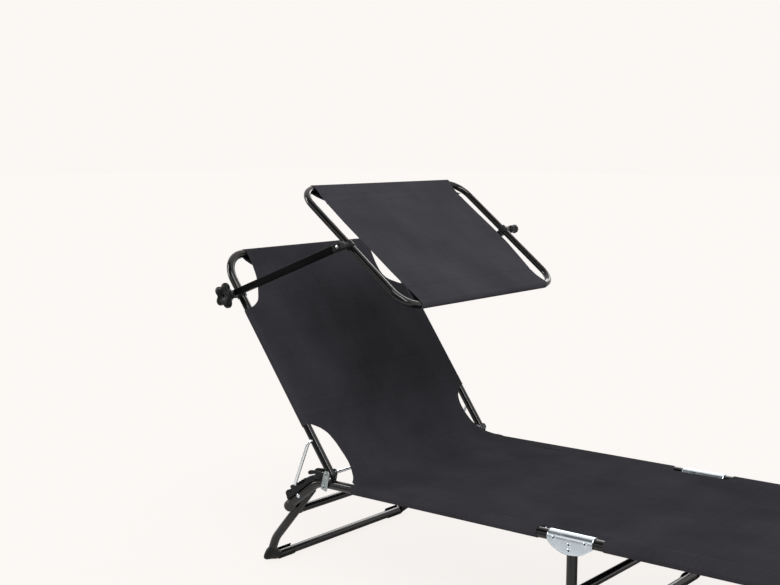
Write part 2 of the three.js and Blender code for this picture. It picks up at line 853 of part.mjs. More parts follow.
const canopySheet = () => {
  const bore = canopyRadius + cloth.ease;
  const top = bore + canopyCloth.thickness;
  const panel = new THREE.Shape();
  panel.moveTo(canopyHigh, top);
  panel.lineTo(canopyHigh, top - canopyCloth.thickness);
  panel.lineTo(canopyLow, top - canopyCloth.thickness);
  panel.lineTo(canopyLow, top);
  const pieces = [acrossY(panel, -canopyCloth.barHalf, canopyCloth.barHalf)];
  const middle = new THREE.Shape();
  const from = canopyHigh + cornerRadiusOfCanopy;
  const to = canopyLow - cornerRadiusOfCanopy;
  middle.moveTo(from, top);
  middle.lineTo(from, top - canopyCloth.thickness);
  middle.lineTo(to, top - canopyCloth.thickness);
  middle.lineTo(to, top);
  pieces.push(acrossY(middle, -canopyCloth.panelHalf, canopyCloth.panelHalf));
  const cutters = [];
  for (const end of [canopyHigh, canopyLow]) {
    const ring = new THREE.Shape();
    ring.absarc(end, 0, top, 0, 2 * Math.PI, false);
    pieces.push(acrossY(ring, -canopyCloth.barHalf, canopyCloth.barHalf, facets.bore * half));
    cutters.push(pinY(bore, -canopyCloth.panelHalf, canopyCloth.panelHalf, end, 0, facets.bore));
  }
  return cut(joined(...pieces), ...cutters);
};

canopy.add(meshOf('canopy_cloth', canopySheet(), finish.cloth));

for (const [name, side] of sides) {
  const shape = collar(clamp, canopyRadius, canopyBolt.radius, side, canopySide, armInner - clearance);
  canopy.add(meshOf(`canopy_clamp_${name}`, shape, finish.plastic));
  const inner = side * (canopySide - clamp.radius);
  const outer = side * (armOuter + clearance);
  const bolt = name === 'near'
    ? joined(
      pinY(canopyBolt.radius, inner, outer),
      pinY(canopyBolt.head, outer, outer + side * canopyBolt.headHeight, 0, 0, facets.rivet),
    )
    : pinY(canopyBolt.radius, inner, outer + side * canopyBolt.tail);
  canopy.add(meshOf(`canopy_bolt_${name}`, bolt, finish.zinc));
}

const smallKnobShape = knob(
  smallKnob,
  canopyBolt.radius,
  1,
  armOuter + 2 * clearance,
  armOuter + clearance + canopyBolt.tail,
);
canopy.add(meshOf('canopy_knob_far', smallKnobShape, finish.plastic));

// Legs

// A U-shaped leg seen from its pivot. Out is -1 towards the head and 1 towards the foot.
const legFoot = (size, out, pivotHeight) => {
  const upper = rad(size.upperAngle);
  const lower = rad(size.lowerAngle);
  const bend = new THREE.Vector2(
    out * size.upperLength * Math.cos(upper),
    -size.upperLength * Math.sin(upper),
  );
  const drop = pivotHeight - leg.barHeight + bend.y;
  const foot = new THREE.Vector2(bend.x + (out * drop) / Math.tan(lower), bend.y - drop);
  return { bend, foot };
};

const foldingLegPath = (size, out, pivotHeight) => {
  const { bend, foot } = legFoot(size, out, pivotHeight);
  const tail = bend.clone().multiplyScalar(-leg.tail / size.upperLength);
  const at = (place, side) => new THREE.Vector3(place.x, side * legMiddle, place.y);
  return new BentPath([
    at(tail, -1),
    at(bend, -1),
    at(foot, -1),
    at(foot, 1),
    at(bend, 1),
    at(tail, 1),
  ], [leg.bendRadius, leg.cornerRadius, leg.cornerRadius, leg.bendRadius]);
};

const foldingLeg = (size, out, pivotHeight) => {
  const { bend } = legFoot(size, out, pivotHeight);
  const place = bend.clone().multiplyScalar(size.stretcherAt / size.upperLength);
  const bar = pinY(leg.stretcher * half, -legMiddle, legMiddle, place.x, place.y, facets.tube);
  const holes = sides.map(([, side]) => rivetHole(0, 0, side * legMiddle, legTube));
  return cut(joined(tubeAlong(foldingLegPath(size, out, pivotHeight), leg.radius), bar), ...holes);
};

// A plastic cap that wraps the corner of a leg's tube and stands flat on the floor.
const footCap = (path, tubeRadius, side, barX, barZ, outerY, floorZ) => {
  const shape = new THREE.Shape();
  const width = tubeRadius + cap.side;
  const top = barZ + cap.topRise;
  const slope = tubeRadius * half;
  shape.moveTo(barX - width + slope * half, floorZ);
  shape.lineTo(barX + width - slope * half, floorZ);
  shape.lineTo(barX + width, floorZ + slope);
  shape.lineTo(barX + width, top - slope);
  shape.lineTo(barX + width - slope, top);
  shape.lineTo(barX - width + slope, top);
  shape.lineTo(barX - width, top - slope);
  shape.lineTo(barX - width, floorZ + slope);
  const block = acrossY(shape, side * outerY, side * (outerY - cap.reach));
  return cut(block, tubeAlong(path, tubeRadius + seatGap, facets.bore));
};

const addFoldingLeg = (parent, size, out, pivotHeight, name) => {
  const path = foldingLegPath(size, out, pivotHeight);
  const { foot } = legFoot(size, out, pivotHeight);
  parent.add(meshOf(`${name}_leg_frame`, foldingLeg(size, out, pivotHeight), finish.blackSteel));
  for (const [sideName, side] of sides) {
    const outerY = legFace + cap.outer;
    const shape = footCap(path, leg.radius, side, foot.x, foot.y, outerY, -pivotHeight);
    parent.add(meshOf(`${name}_foot_cap_${sideName}`, shape, finish.plastic));
  }
};

const headLegGroup = groupAt(lounger, headPivot.x, headPivot.y);
addFoldingLeg(headLegGroup, headLeg, -1, headPivot.y, 'head');

const midLegGroup = groupAt(lounger, 0, 0);
const midTop = lyingHeight - midLeg.topDrop;
const midPath = new BentPath([
  new THREE.Vector3(0, -halfWidth, midTop),
  new THREE.Vector3(0, -halfWidth, midLeg.barHeight),
  new THREE.Vector3(0, halfWidth, midLeg.barHeight),
  new THREE.Vector3(0, halfWidth, midTop),
], midLeg.cornerRadius);

const legRivetHeights = {
  upper: lyingHeight - saddle.upperRivetDrop,
  lower: lyingHeight - saddle.lowerRivetDrop,
};

const midLegHoles = sides.flatMap(([, side]) => Object.values(legRivetHeights).map(
  (z) => rivetHole(0, z, side * halfWidth, railTube),
));

const midStretcher = pinY(
  leg.stretcher * half,
  -halfWidth,
  halfWidth,
  0,
  midLeg.stretcherHeight,
  facets.tube,
);

midLegGroup.add(meshOf(
  'mid_leg_frame',
  cut(joined(tubeAlong(midPath, rail.radius, facets.rail), midStretcher), ...midLegHoles),
  finish.blackSteel,
));

// An inverted U of sheet over the two rail ends, with half-round sides.
const saddleSection = (y) => {
  const inner = rail.radius + clearance;
  const outer = inner + saddle.wall;
  const shape = new THREE.Shape();
  shape.moveTo(y + outer, -saddle.drop);
  shape.absarc(y, 0, outer, 0, Math.PI, false);
  shape.lineTo(y - outer, -saddle.drop);
  shape.lineTo(y - inner, -saddle.drop);
  shape.absarc(y, 0, inner, Math.PI, 0, true);
  shape.lineTo(y + inner, -saddle.drop);
  return shape;
};

const saddleOutline = () => {
  const shape = new THREE.Shape();
  const reach = saddle.span * half;
  const top = railTube;
  const sagitta = saddle.drop - saddle.shoulderDrop;
  const radius = (reach * reach + sagitta * sagitta) / (2 * sagitta);
  const sweep = Math.asin(reach / radius);
  const centre = radius - saddle.drop;
  shape.moveTo(-reach, top);
  shape.lineTo(-reach, -saddle.shoulderDrop);
  shape.absarc(0, centre, radius, -Math.PI * half - sweep, -Math.PI * half + sweep, false);
  shape.lineTo(reach, top);
  return shape;
};

const foldSaddle = (side) => {
  const y = side * halfWidth;
  const reach = saddle.span * half;
  const width = railTube;
  const body = common(
    alongX(saddleSection(y), -reach - overrun, reach + overrun, facets.band),
    acrossY(saddleOutline(), y - width, y + width, facets.tube),
  ).translate(0, 0, lyingHeight);
  const holes = [
    rivetHole(-saddle.pivotHalf, lyingHeight, y, railTube),
    rivetHole(saddle.pivotHalf, lyingHeight, y, railTube),
    ...Object.values(legRivetHeights).map((z) => rivetHole(0, z, y, railTube)),
  ];
  return cut(body, ...holes);
};

for (const [name, side] of sides) {
  const y = side * halfWidth;
  const reach = rail.radius + clearance + saddle.wall + seatGap;
  const at = (x, z) => rivetBetween(y - reach, y + reach).translate(x, 0, z);
  midLegGroup.add(meshOf(`fold_saddle_${name}`, foldSaddle(side), finish.zinc));
  midLegGroup.add(meshOf(`seat_pivot_rivet_${name}`, at(-saddle.pivotHalf, lyingHeight), finish.zinc));
  midLegGroup.add(meshOf(`foot_pivot_rivet_${name}`, at(saddle.pivotHalf, lyingHeight), finish.zinc));
  for (const [level, z] of Object.entries(legRivetHeights)) {
    midLegGroup.add(meshOf(`leg_rivet_${level}_${name}`, at(0, z), finish.zinc));
  }
  const outerY = halfWidth + rail.radius + cap.outer;
  const shape = footCap(midPath, rail.radius, side, 0, midLeg.barHeight, outerY, 0);
  midLegGroup.add(meshOf(`mid_foot_cap_${name}`, shape, finish.plastic));
}

// Foot frame

const footFrame = groupAt(lounger, 0, 0);

const footPath = new BentPath([
  new THREE.Vector3(saddle.pivotHalf, -halfWidth, lyingHeight),
  new THREE.Vector3(footLength, -halfWidth, lyingHeight),
  new THREE.Vector3(footLength, halfWidth, lyingHeight),
  new THREE.Vector3(saddle.pivotHalf, halfWidth, lyingHeight),
], back.cornerRadius);

const footHoles = sides.flatMap(([, side]) => [
  rivetHole(saddle.pivotHalf, lyingHeight, side * halfWidth, railTube),
  rivetHole(footPivot.x, footPivot.y, side * halfWidth, railTube),
]);

const footRails = cut(
  joined(
    tubeAlong(footPath, rail.radius, facets.rail),
    roundEnd(saddle.pivotHalf, -halfWidth),
    roundEnd(saddle.pivotHalf, halfWidth),
  ),
  ...footHoles,
);
footFrame.add(meshOf('foot_frame_tube', footRails, finish.blackSteel));

const footSling = () => {
  const top = lyingHeight + railSleeve;
  const sleeveX0 = seatCloth.sleeveEnd;
  const sleeveX1 = footLength - footCloth.sleeveEnd;
  const panel = new THREE.Shape();
  panel.moveTo(seatCloth.slit, top);
  panel.lineTo(seatCloth.slit, top - cloth.thickness);
  panel.lineTo(footLength, top - cloth.thickness);
  panel.lineTo(footLength, top);
  const endHalf = halfWidth - footCloth.cornerInset;
  const endSleeve = new THREE.Shape();
  endSleeve.absarc(footLength, lyingHeight, railSleeve, 0, 2 * Math.PI, false);
  const pieces = [
    acrossY(panel, -halfWidth, halfWidth),
    acrossY(endSleeve, -endHalf, endHalf, facets.bore * half),
  ];
  const bar = rail.radius + cloth.ease;
  const cutters = [pinY(bar, -halfWidth, halfWidth, footLength, lyingHeight, facets.bore)];
  for (const [, side] of sides) {
    const y = side * halfWidth;
    pieces.push(sleeveX(rail.radius, y, sleeveX0, sleeveX1, lyingHeight));
    cutters.push(boreX(rail.radius, y, sleeveX0, sleeveX1, lyingHeight));
    const nearHinge = halfWidth - seatCloth.hingeInset;
    const slitCurve = sleeveX0 - overrun;
    cutters.push(cutThrough(sideCut(side, nearHinge, outerEdge, -overrun, slitCurve, sleeveX0), top));
    const curve = sleeveX1 + footCloth.cornerCut * half;
    const beyond = footLength + railTube;
    cutters.push(cutThrough(sideCut(side, endHalf, outerEdge, beyond, curve, sleeveX1), top));
  }
  return cut(joined(...pieces), ...cutters);
};

footFrame.add(meshOf('foot_sling', footSling(), finish.cloth));

for (const [name, side] of sides) {
  const shape = legRivet(side).translate(footPivot.x, 0, footPivot.y);
  footFrame.add(meshOf(`foot_leg_rivet_${name}`, shape, finish.zinc));
}

const footLegGroup = groupAt(footFrame, footPivot.x, footPivot.y);
addFoldingLeg(footLegGroup, footLeg, 1, footPivot.y, 'foot');

// Origin on the floor, under the middle

lounger.updateMatrixWorld(true);
const extent = new THREE.Box3().setFromObject(lounger, true);
lounger.position.set(-(extent.min.x + extent.max.x) * half, -(extent.min.y + extent.max.y) * half, 0);

export default lounger;
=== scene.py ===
"""Folding three-part sun lounger with a tilting canopy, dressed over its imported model."""
import math

import bmesh
import bpy
import numpy as np
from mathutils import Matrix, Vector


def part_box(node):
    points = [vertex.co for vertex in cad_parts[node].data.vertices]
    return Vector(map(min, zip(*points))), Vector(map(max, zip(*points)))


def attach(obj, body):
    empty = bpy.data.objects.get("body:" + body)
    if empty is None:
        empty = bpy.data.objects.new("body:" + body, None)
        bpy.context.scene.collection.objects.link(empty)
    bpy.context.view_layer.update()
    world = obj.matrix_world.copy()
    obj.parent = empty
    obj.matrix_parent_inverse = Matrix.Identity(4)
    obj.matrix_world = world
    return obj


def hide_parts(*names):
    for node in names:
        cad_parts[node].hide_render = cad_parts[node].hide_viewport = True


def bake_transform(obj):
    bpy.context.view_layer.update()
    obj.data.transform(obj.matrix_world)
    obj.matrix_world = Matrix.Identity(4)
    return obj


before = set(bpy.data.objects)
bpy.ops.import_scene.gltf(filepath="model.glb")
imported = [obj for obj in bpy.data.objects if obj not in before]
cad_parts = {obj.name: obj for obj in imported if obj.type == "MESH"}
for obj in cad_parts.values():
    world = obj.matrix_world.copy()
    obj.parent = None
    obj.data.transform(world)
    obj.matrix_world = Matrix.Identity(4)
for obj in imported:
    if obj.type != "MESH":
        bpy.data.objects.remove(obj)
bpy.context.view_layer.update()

# Sizes, in millimetres. X is counted from the mid hinge, towards the foot end.

MM = 0.001
HALF_WIDTH = 287.5  # from the middle to a side rail's centre line
LYING = 246.0  # height of the side rails' centre lines
RAIL_R = 11.0
BACK_R = 9.5
LEG_R = 10.2
STRETCHER_R = 9.5
CANOPY_R = 8.0
STRUT_R = 4.0
BACK_PIVOT = np.array([-644.0, 0.0, 272.0])
BACK_ANGLE = math.radians(55.0)
BACK_LENGTH = 575.0  # from the pivot to the top bar's centre line
BACK_TAIL = 5.7  # how far the backrest's tubes go on past the pivot
CORNER_R = 65.0
FOOT_BAR = 650.0
HINGE_HALF = 36.0  # from the mid hinge to the first of a side tube
DIP_START = 663.0  # where the rails start to bend down behind the backrest
DIP_R = 60.0
DIP_ANGLE = math.radians(37.0)
TAIL = 98.0  # the rail's straight run after that bend
HOOK_AT = 86.0  # from the pivot up to the strut's hooks
HOOK_Y = 283.0  # where the strut's two ends stop, inside the backrest's tubes
STRUT_SEAT = (37.0, 24.0)  # where the strut's rod lies: past the rail's bend, and out from its centre line
STRUT_SIDE = 305.0
LEG_Y = 260.0
LEG_BEND_R = 85.0
LEG_CORNER_R = 30.0
FOLDING_BAR_Z = 13.8  # height of a folding leg's bottom bar
LEG_STRETCHER_AT = 69.0  # from a folding leg's pivot down to its stretcher
MID_BAR_Z = 13.0
MID_STRETCHER_Z = 131.0
PLATE_LEAN = math.radians(15.5)
ARM_AT = 473.0  # from the pivot up to the arm bolts
ARM_LENGTH = 364.0
ARM_ANGLE = math.radians(20.6)
ARM_Y = 316.0
ARM_HALF = 7.5
ARM_IN, ARM_OUT = ARM_Y - ARM_HALF, ARM_Y + ARM_HALF
BOLT_IN = 298.0  # inner end of the arm and canopy bolts
CANOPY_TILT = math.radians(37.5)
CANOPY_UP = -184.0  # from the canopy's pivots to its two bars
CANOPY_DOWN = 196.0
CANOPY_SIDE = 285.0
CANOPY_CORNER = 50.0
CLOTH_GAP = 0.9
CLOTH_THICK = 0.9
SEAM_Y = HALF_WIDTH - 29.0  # the stitch line beside each side tube
SLEEVE_TOP, SLEEVE_LOW = 430.0, 124.0  # ends of the backrest's side sleeves, up from the pivot
FLAP = 36.0  # the cloth turned back behind the top bar and the foot bar
SPLIT_X = -130.0  # where the seat's cloth meets the piece over the mid hinge
WELD_DISTANCE = 2e-6  # in metres: points nearer to each other than this become one
SIDES = (("near", -1.0), ("far", 1.0))
ACROSS = np.array([0.0, 1.0, 0.0])

hinge_low, hinge_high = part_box("mid_leg_frame")
HINGE_X = (hinge_low[0] + hinge_high[0]) / 2


def metres(points):
    """Millimetres from the mid hinge, turned to metres in the shared frame."""
    return np.asarray(points, float) * MM + np.array([HINGE_X, 0.0, 0.0])


# Places on the tilted frames

def tilted(origin, angle, along, y, out):
    """A place on a tilted frame: along runs down the frame, out stands off its upper face."""
    along, y, out = np.broadcast_arrays(np.asarray(along, float), y, out)
    x = origin[0] + along * math.cos(angle) + out * math.sin(angle)
    z = origin[2] - along * math.sin(angle) + out * math.cos(angle)
    return np.stack([x, np.asarray(y, float), z], axis=-1)


def on_back(s, y, out):
    """A place on the backrest: s from its pivot towards the top bar, out towards the sitter."""
    return tilted(BACK_PIVOT, BACK_ANGLE, -np.asarray(s, float), y, out)


ARM_PIVOT = on_back(ARM_AT, 0.0, 0.0)
ARM_END = ARM_PIVOT + ARM_LENGTH * np.array([math.cos(ARM_ANGLE), 0.0, math.sin(ARM_ANGLE)])


def on_canopy(t, y, out):
    """A place on the canopy: t from its pivots down its slope, out off its upper face."""
    return tilted(ARM_END, CANOPY_TILT, t, y, out)


def on_dip(run, y, out):
    """A place by the rail behind the backrest. The rail bends down round an arc, then runs straight:
    run is counted along its centre line from the arc's start, out is square to it."""
    run, y, out = np.broadcast_arrays(np.asarray(run, float), y, np.asarray(out, float))
    angle = np.clip(run / DIP_R, 0.0, DIP_ANGLE)
    past = np.maximum(run - DIP_R * DIP_ANGLE, 0.0)
    before = np.minimum(run, 0.0)
    x = -DIP_START - before - (DIP_R + out) * np.sin(angle) - past * np.cos(angle)
    z = LYING - DIP_R + (DIP_R + out) * np.cos(angle) - past * np.sin(angle)
    return np.stack([x, np.asarray(y, float), z], axis=-1)


BEND_RUN = DIP_R * DIP_ANGLE


# Shells: a shell is its points and its faces

def skin(grid, around=False, loop=False, caps=False):
    """A surface over a grid of points, rows along it and columns across it. around joins the last
    column to the first, loop the last row to the first, and caps closes the two end rows."""
    rows, cols = grid.shape[:2]
    index = np.arange(rows * cols).reshape(rows, cols)
    if around:
        index = np.concatenate([index, index[:, :1]], axis=1)
    if loop:
        index = np.concatenate([index, index[:1]], axis=0)
    quads = np.stack([index[:-1, :-1], index[:-1, 1:], index[1:, 1:], index[1:, :-1]], axis=-1)
    faces = quads.reshape(-1, 4).tolist()
    if caps:
        faces += [index[0, :cols][::-1].tolist(), index[-1, :cols].tolist()]
    return grid.reshape(-1, 3), faces


def prism(outline, y0, y1):
    """An outline drawn in X and Z, carried across from y0 to y1 and closed at both."""
    outline = np.asarray(outline, float)
    ends = [np.stack([outline[:, 0], np.full(len(outline), y), outline[:, 1]], axis=-1) for y in (y0, y1)]
    return skin(np.stack(ends), around=True, caps=True)


def unit(vectors):
    """The same directions, each of length 1."""
    return vectors / np.linalg.norm(vectors, axis=-1, keepdims=True)


def bent_path(corners, radii, closed=False):
    """Points and directions along straight runs joined by round bends. Each bend is an arc that
    leaves one run and meets the next at its tangent points, radius x tan(half the turn) from the corner."""
    corners = [np.asarray(c, float) for c in corners]
    count = len(corners)
    step = math.radians(5.0)
    points, tangents = [], []
    bends = range(count) if closed else range(1, count - 1)
    if not closed:
        points.append(corners[0][None])
        tangents.append(unit(corners[1] - corners[0])[None])
    for place, i in enumerate(bends):
        into = unit(corners[i] - corners[i - 1])
        out = unit(corners[(i + 1) % count] - corners[i])
        turn = math.acos(float(np.clip(into @ out, -1.0, 1.0)))
        inward = (out - into * math.cos(turn)) / math.sin(turn)
        a = np.linspace(0.0, turn, max(int(math.ceil(turn / step)), 2) + 1)[:, None]
        start = corners[i] - into * radii[place] * math.tan(turn / 2)
        points.append(start + radii[place] * (into * np.sin(a) + inward * (1 - np.cos(a))))
        tangents.append(into * np.cos(a) + inward * np.sin(a))
    if not closed:
        points.append(corners[-1][None])
        tangents.append(unit(corners[-1] - corners[-2])[None])
    return np.concatenate(points), np.concatenate(tangents)


def swept(points, tangents, profile, first, scale=None):
    """A profile carried along a path. Its directions never twist: each is the one before it with
    the part along the new tangent taken out."""
    normal = np.asarray(first, float)
    normals = []
    for tangent in tangents:
        normal = unit(normal - tangent * (normal @ tangent))
        normals.append(normal)
    normals = np.array(normals)
    sideways = np.cross(tangents, normals)
    size = np.ones(len(points)) if scale is None else np.asarray(scale)
    a = profile[None, :, 0, None] * size[:, None, None]
    b = profile[None, :, 1, None] * size[:, None, None]
    return points[:, None] + normals[:, None] * a + sideways[:, None] * b


def ring(radius, sides=28):
    """Points of a circle."""
    a = np.linspace(0.0, 2 * math.pi, sides, endpoint=False)
    return radius * np.stack([np.cos(a), np.sin(a)], axis=-1)


def rounded_square(half, radius):
    """Points of a square with round corners: a quarter circle at each corner, and a point on the flat
    beside each of its ends, so that the flats are shaded flat."""
    a = np.linspace(0.0, math.pi / 2, 5)
    quarter = radius * np.stack([np.cos(a), np.sin(a)], axis=-1) + (half - radius)
    quarter = np.concatenate([[(half, half - radius - 0.5)], quarter, [(half - radius - 0.5, half)]])
    turns = []
    for k in range(4):
        c, s = math.cos(k * math.pi / 2), math.sin(k * math.pi / 2)
        turns.append(quarter @ np.array([[c, s], [-s, c]]))
    return np.concatenate(turns)


def domed(points, tangents, radius, share, ends):
    """A tube's ends, rounded where ends asks for it: rings that shrink as cos(a) while they move on by
    share x radius x sin(a)."""
    steps = 6
    a = np.linspace(0.0, math.pi / 2, steps + 1)[1:]
    reach = share * radius * np.sin(a)[:, None]
    scale = np.ones(len(points))
    if ends[0]:
        points = np.concatenate([points[0] - tangents[0] * reach[::-1], points])
        tangents = np.concatenate([np.repeat(tangents[:1], steps, axis=0), tangents])
        scale = np.concatenate([np.cos(a)[::-1], scale])
    if ends[1]:
        points = np.concatenate([points, points[-1] + tangents[-1] * reach])
        tangents = np.concatenate([tangents, np.repeat(tangents[-1:], steps, axis=0)])
        scale = np.concatenate([scale, np.cos(a)])
    return points, tangents, np.maximum(scale, 1e-4)


def tube(corners, radii, radius, first, closed=False, dome=0.35, sides=28, profile=None, ends=(True, True)):
    """A tube along a bent path, round unless it is given a profile, its ends closed flat or by domes."""
    points, tangents = bent_path(corners, radii, closed)
    profile = ring(radius, sides) if profile is None else profile
    if closed:
        return skin(swept(points, tangents, profile, first), around=True, loop=True)
    points, tangents, scale = domed(points, tangents, radius, dome, ends)
    return skin(swept(points, tangents, profile, first, scale), around=True, caps=True)


def turned(profile, centre, sides, side=1.0, lobes=0, depth=None, phase=0.0):
    """A profile of (radius, y) turned about the Y axis through centre, on the far side or mirrored to
    the near one. With lobes, each radius is drawn in by its own depth between them, as
    depth x ((1 + cos(lobes x (angle + phase))) / 2) ^ 1.5."""
    profile = np.asarray(profile, float) * [1.0, side]
    a = np.linspace(0.0, 2 * math.pi, sides, endpoint=False)
    radius = np.repeat(profile[:, :1], sides, axis=1)
    if lobes:
        wave = ((1 + np.cos(lobes * (a + phase))) / 2) ** 1.5
        radius = radius - np.asarray(depth, float)[:, None] * wave[None]
    grid = np.stack([
        centre[0] + radius * np.cos(a),
        centre[1] + np.repeat(profile[:, 1:], sides, axis=1),
        centre[2] + radius * np.sin(a)], axis=-1)
    return skin(grid, around=True, caps=True)


# Materials

def linear(colour):
    """A hex colour written as sRGB, turned to linear light."""
    parts = np.array([int(colour[i:i + 2], 16) for i in (1, 3, 5)]) / 255
    low, high = parts / 12.92, ((parts + 0.055) / 1.055) ** 2.4
    return (*np.where(parts <= 0.04045, low, high).tolist(), 1.0)


def add(tree, kind, inputs=None, **settings):
    """Adds a node with its settings. An input that is a socket is linked, any other is set."""
    made = tree.nodes.new(kind)
    for key, value in settings.items():
        setattr(made, key, value)
    for key, value in (inputs or {}).items():
        if isinstance(value, bpy.types.NodeSocket):
            tree.links.new(value, made.inputs[key])
        else:
            made.inputs[key].default_value = value
    return made


def new_material(name, **shader):
    """A material whose one shader has these constant settings, and its places on the object."""
    made = bpy.data.materials.new(name)
    made.use_nodes = True
    tree = made.node_tree
    principled = tree.nodes["Principled BSDF"]
    for key, value in shader.items():
        principled.inputs[key.replace("_", " ")].default_value = value
    return made, tree, principled, add(tree, "ShaderNodeTexCoord").outputs["Object"]


def finish_surface(tree, shader, factor, colours, roughness, bump, spread=(0.3, 0.7)):
    """Lets a pattern's factor, stretched over its usual spread, blend two colours and two roughness
    values, and stands the height in bump on the surface. Bump is its socket, strength and depth."""
    share = add(tree, "ShaderNodeMapRange", {"Value": factor, "From Min": spread[0], "From Max": spread[1]})
    colour = add(tree, "ShaderNodeMix", {0: share.outputs[0], 6: linear(colours[0]), 7: linear(colours[1])},
                 data_type="RGBA")
    rough = add(tree, "ShaderNodeMapRange", {"Value": share.outputs[0], "To Min": roughness[0],
                                             "To Max": roughness[1]})
    height, strength, depth = bump
    normal = add(tree, "ShaderNodeBump", {"Height": height, "Strength": strength, "Distance": depth * MM})
    tree.links.new(colour.outputs[2], shader.inputs["Base Color"])
    tree.links.new(rough.outputs[0], shader.inputs["Roughness"])
    tree.links.new(normal.outputs["Normal"], shader.inputs["Normal"])


def powder_coat(name, specular, roughness):
    """Black polyester powder coat baked on steel: deep black, with the faint orange peel of melted
    powder, about 3 mm across, and a little duller in patches where hands rub it."""
    made, tree, shader, where = new_material(name, Specular_IOR_Level=specular)
    peel = add(tree, "ShaderNodeTexNoise", {"Vector": where, "Scale": 330.0, "Detail": 2.0})
    broad = add(tree, "ShaderNodeTexNoise", {"Vector": where, "Scale": 14.0, "Detail": 4.0})
    finish_surface(tree, shader, broad.outputs["Fac"], ("#0a0a0b", "#111112"), roughness,
                   (peel.outputs["Fac"], 0.1, 0.3))
    return made


def zinc_plate(name, colours, rough):
    """Bright zinc plate on pressed steel: pale metal with a slight blue cast, clouded in patches of
    about 15 mm, with fine rolling lines under the plating."""
    made, tree, shader, where = new_material(name, Metallic=1.0)
    clouds = add(tree, "ShaderNodeTexNoise", {"Vector": where, "Scale": 65.0, "Detail": 3.0})
    stretch = add(tree, "ShaderNodeMapping", {"Vector": where, "Scale": (60.0, 900.0, 900.0)})
    lines = add(tree, "ShaderNodeTexNoise", {"Vector": stretch.outputs[0], "Scale": 1.0, "Detail": 3.0})
    finish_surface(tree, shader, clouds.outputs["Fac"], colours, (rough, rough + 0.1),
                   (lines.outputs["Fac"], 0.2, 0.2))
    return made


def moulded_plastic(name, colours, rough, specular):
    """Injection-moulded plastic: near black, with the fine grain that its spark-eroded mould gives,
    drawn about 1 mm wide so that it shows, and soft broad highlights."""
    made, tree, shader, where = new_material(name, Specular_IOR_Level=specular)
    grain = add(tree, "ShaderNodeTexNoise", {"Vector": where, "Scale": 900.0, "Detail": 3.0})
    flow = add(tree, "ShaderNodeTexNoise", {"Vector": where, "Scale": 30.0, "Detail": 3.0})
    finish_surface(tree, shader, flow.outputs["Fac"], colours, (rough, rough + 0.14),
                   (grain.outputs["Fac"], 0.18, 0.2))
    return made


def woven_polyester(name, colours, thread_mm):
    """Plain-woven polyester cloth. Real threads lie about 0.5 mm apart; they are drawn coarser so that
    the weave shows. The height is sin(across) x sin(along), so warp and weft cross over and under by
    turns, and each thread is a little lighter or darker than the next. The colour also follows that
    height, so the weave's crowns are painted lighter and its dips darker: painted highlight and shade."""
    made, tree, shader, where = new_material(name, Specular_IOR_Level=0.0, Sheen_Weight=0.015,
                                             Sheen_Roughness=0.5)
    coordinates = add(tree, "ShaderNodeUVMap", uv_map="cloth")
    axes = add(tree, "ShaderNodeSeparateXYZ", {"Vector": coordinates.outputs["UV"]})
    waves, threads = [], []
    for axis in ("X", "Y"):
        count = add(tree, "ShaderNodeMath", {0: axes.outputs[axis], 1: 1.0 / thread_mm}, operation="MULTIPLY")
        angle = add(tree, "ShaderNodeMath", {0: count.outputs[0], 1: math.pi}, operation="MULTIPLY")
        waves.append(add(tree, "ShaderNodeMath", {0: angle.outputs[0]}, operation="SINE").outputs[0])
        whole = add(tree, "ShaderNodeMath", {0: count.outputs[0]}, operation="FLOOR")
        threads.append(add(tree, "ShaderNodeTexWhiteNoise", {"W": whole.outputs[0]}, noise_dimensions="1D"))
    height = add(tree, "ShaderNodeMath", {0: waves[0], 1: waves[1]}, operation="MULTIPLY")
    broad = add(tree, "ShaderNodeTexNoise", {"Vector": where, "Scale": 7.0, "Detail": 4.0})
    tint = add(tree, "ShaderNodeMath", {0: threads[0].outputs["Value"], 1: threads[1].outputs["Value"]},
               operation="ADD")
    mixed = add(tree, "ShaderNodeMath", {0: tint.outputs[0], 1: 0.1, 2: broad.outputs["Fac"]},
                operation="MULTIPLY_ADD")
    # The weave's height also lifts the colour: its crowns are painted lighter and its dips darker, painted
    # shade.
    lift = add(tree, "ShaderNodeMath", {0: height.outputs[0], 1: 0.1, 2: mixed.outputs[0]},
               operation="MULTIPLY_ADD")
    finish_surface(tree, shader, lift.outputs[0], colours, (0.92, 0.8),
                   (height.outputs[0], 0.35, thread_mm * 0.25), (0.3, 0.95))
    return made


def sewing_thread():
    """Bonded polyester sewing thread: dark, slightly shiny twist lying on the cloth."""
    made, tree, shader, where = new_material("black_sewing_thread", Specular_IOR_Level=0.3)
    twist = add(tree, "ShaderNodeTexNoise", {"Vector": where, "Scale": 1400.0, "Detail": 1.0})
    finish_surface(tree, shader, twist.outputs["Fac"], ("#0c0c0e", "#1f1f23"), (0.4, 0.6),
                   (twist.outputs["Fac"], 0.2, 0.1))
    return made


COAT = powder_coat("gloss_black_powder_coat", 0.5, (0.1, 0.18))
ARM_COAT = powder_coat("satin_black_powder_coat", 0.03, (0.3, 0.4))
ZINC = zinc_plate("bright_zinc_plate", ("#dfecf7", "#edf9ff"), 0.2)
PLATE_ZINC = zinc_plate("dull_zinc_plate", ("#a2acae", "#bcc5c6"), 0.26)
ROD_ZINC = zinc_plate("zinc_plated_wire", ("#ecf2f6", "#fafcfe"), 0.22)
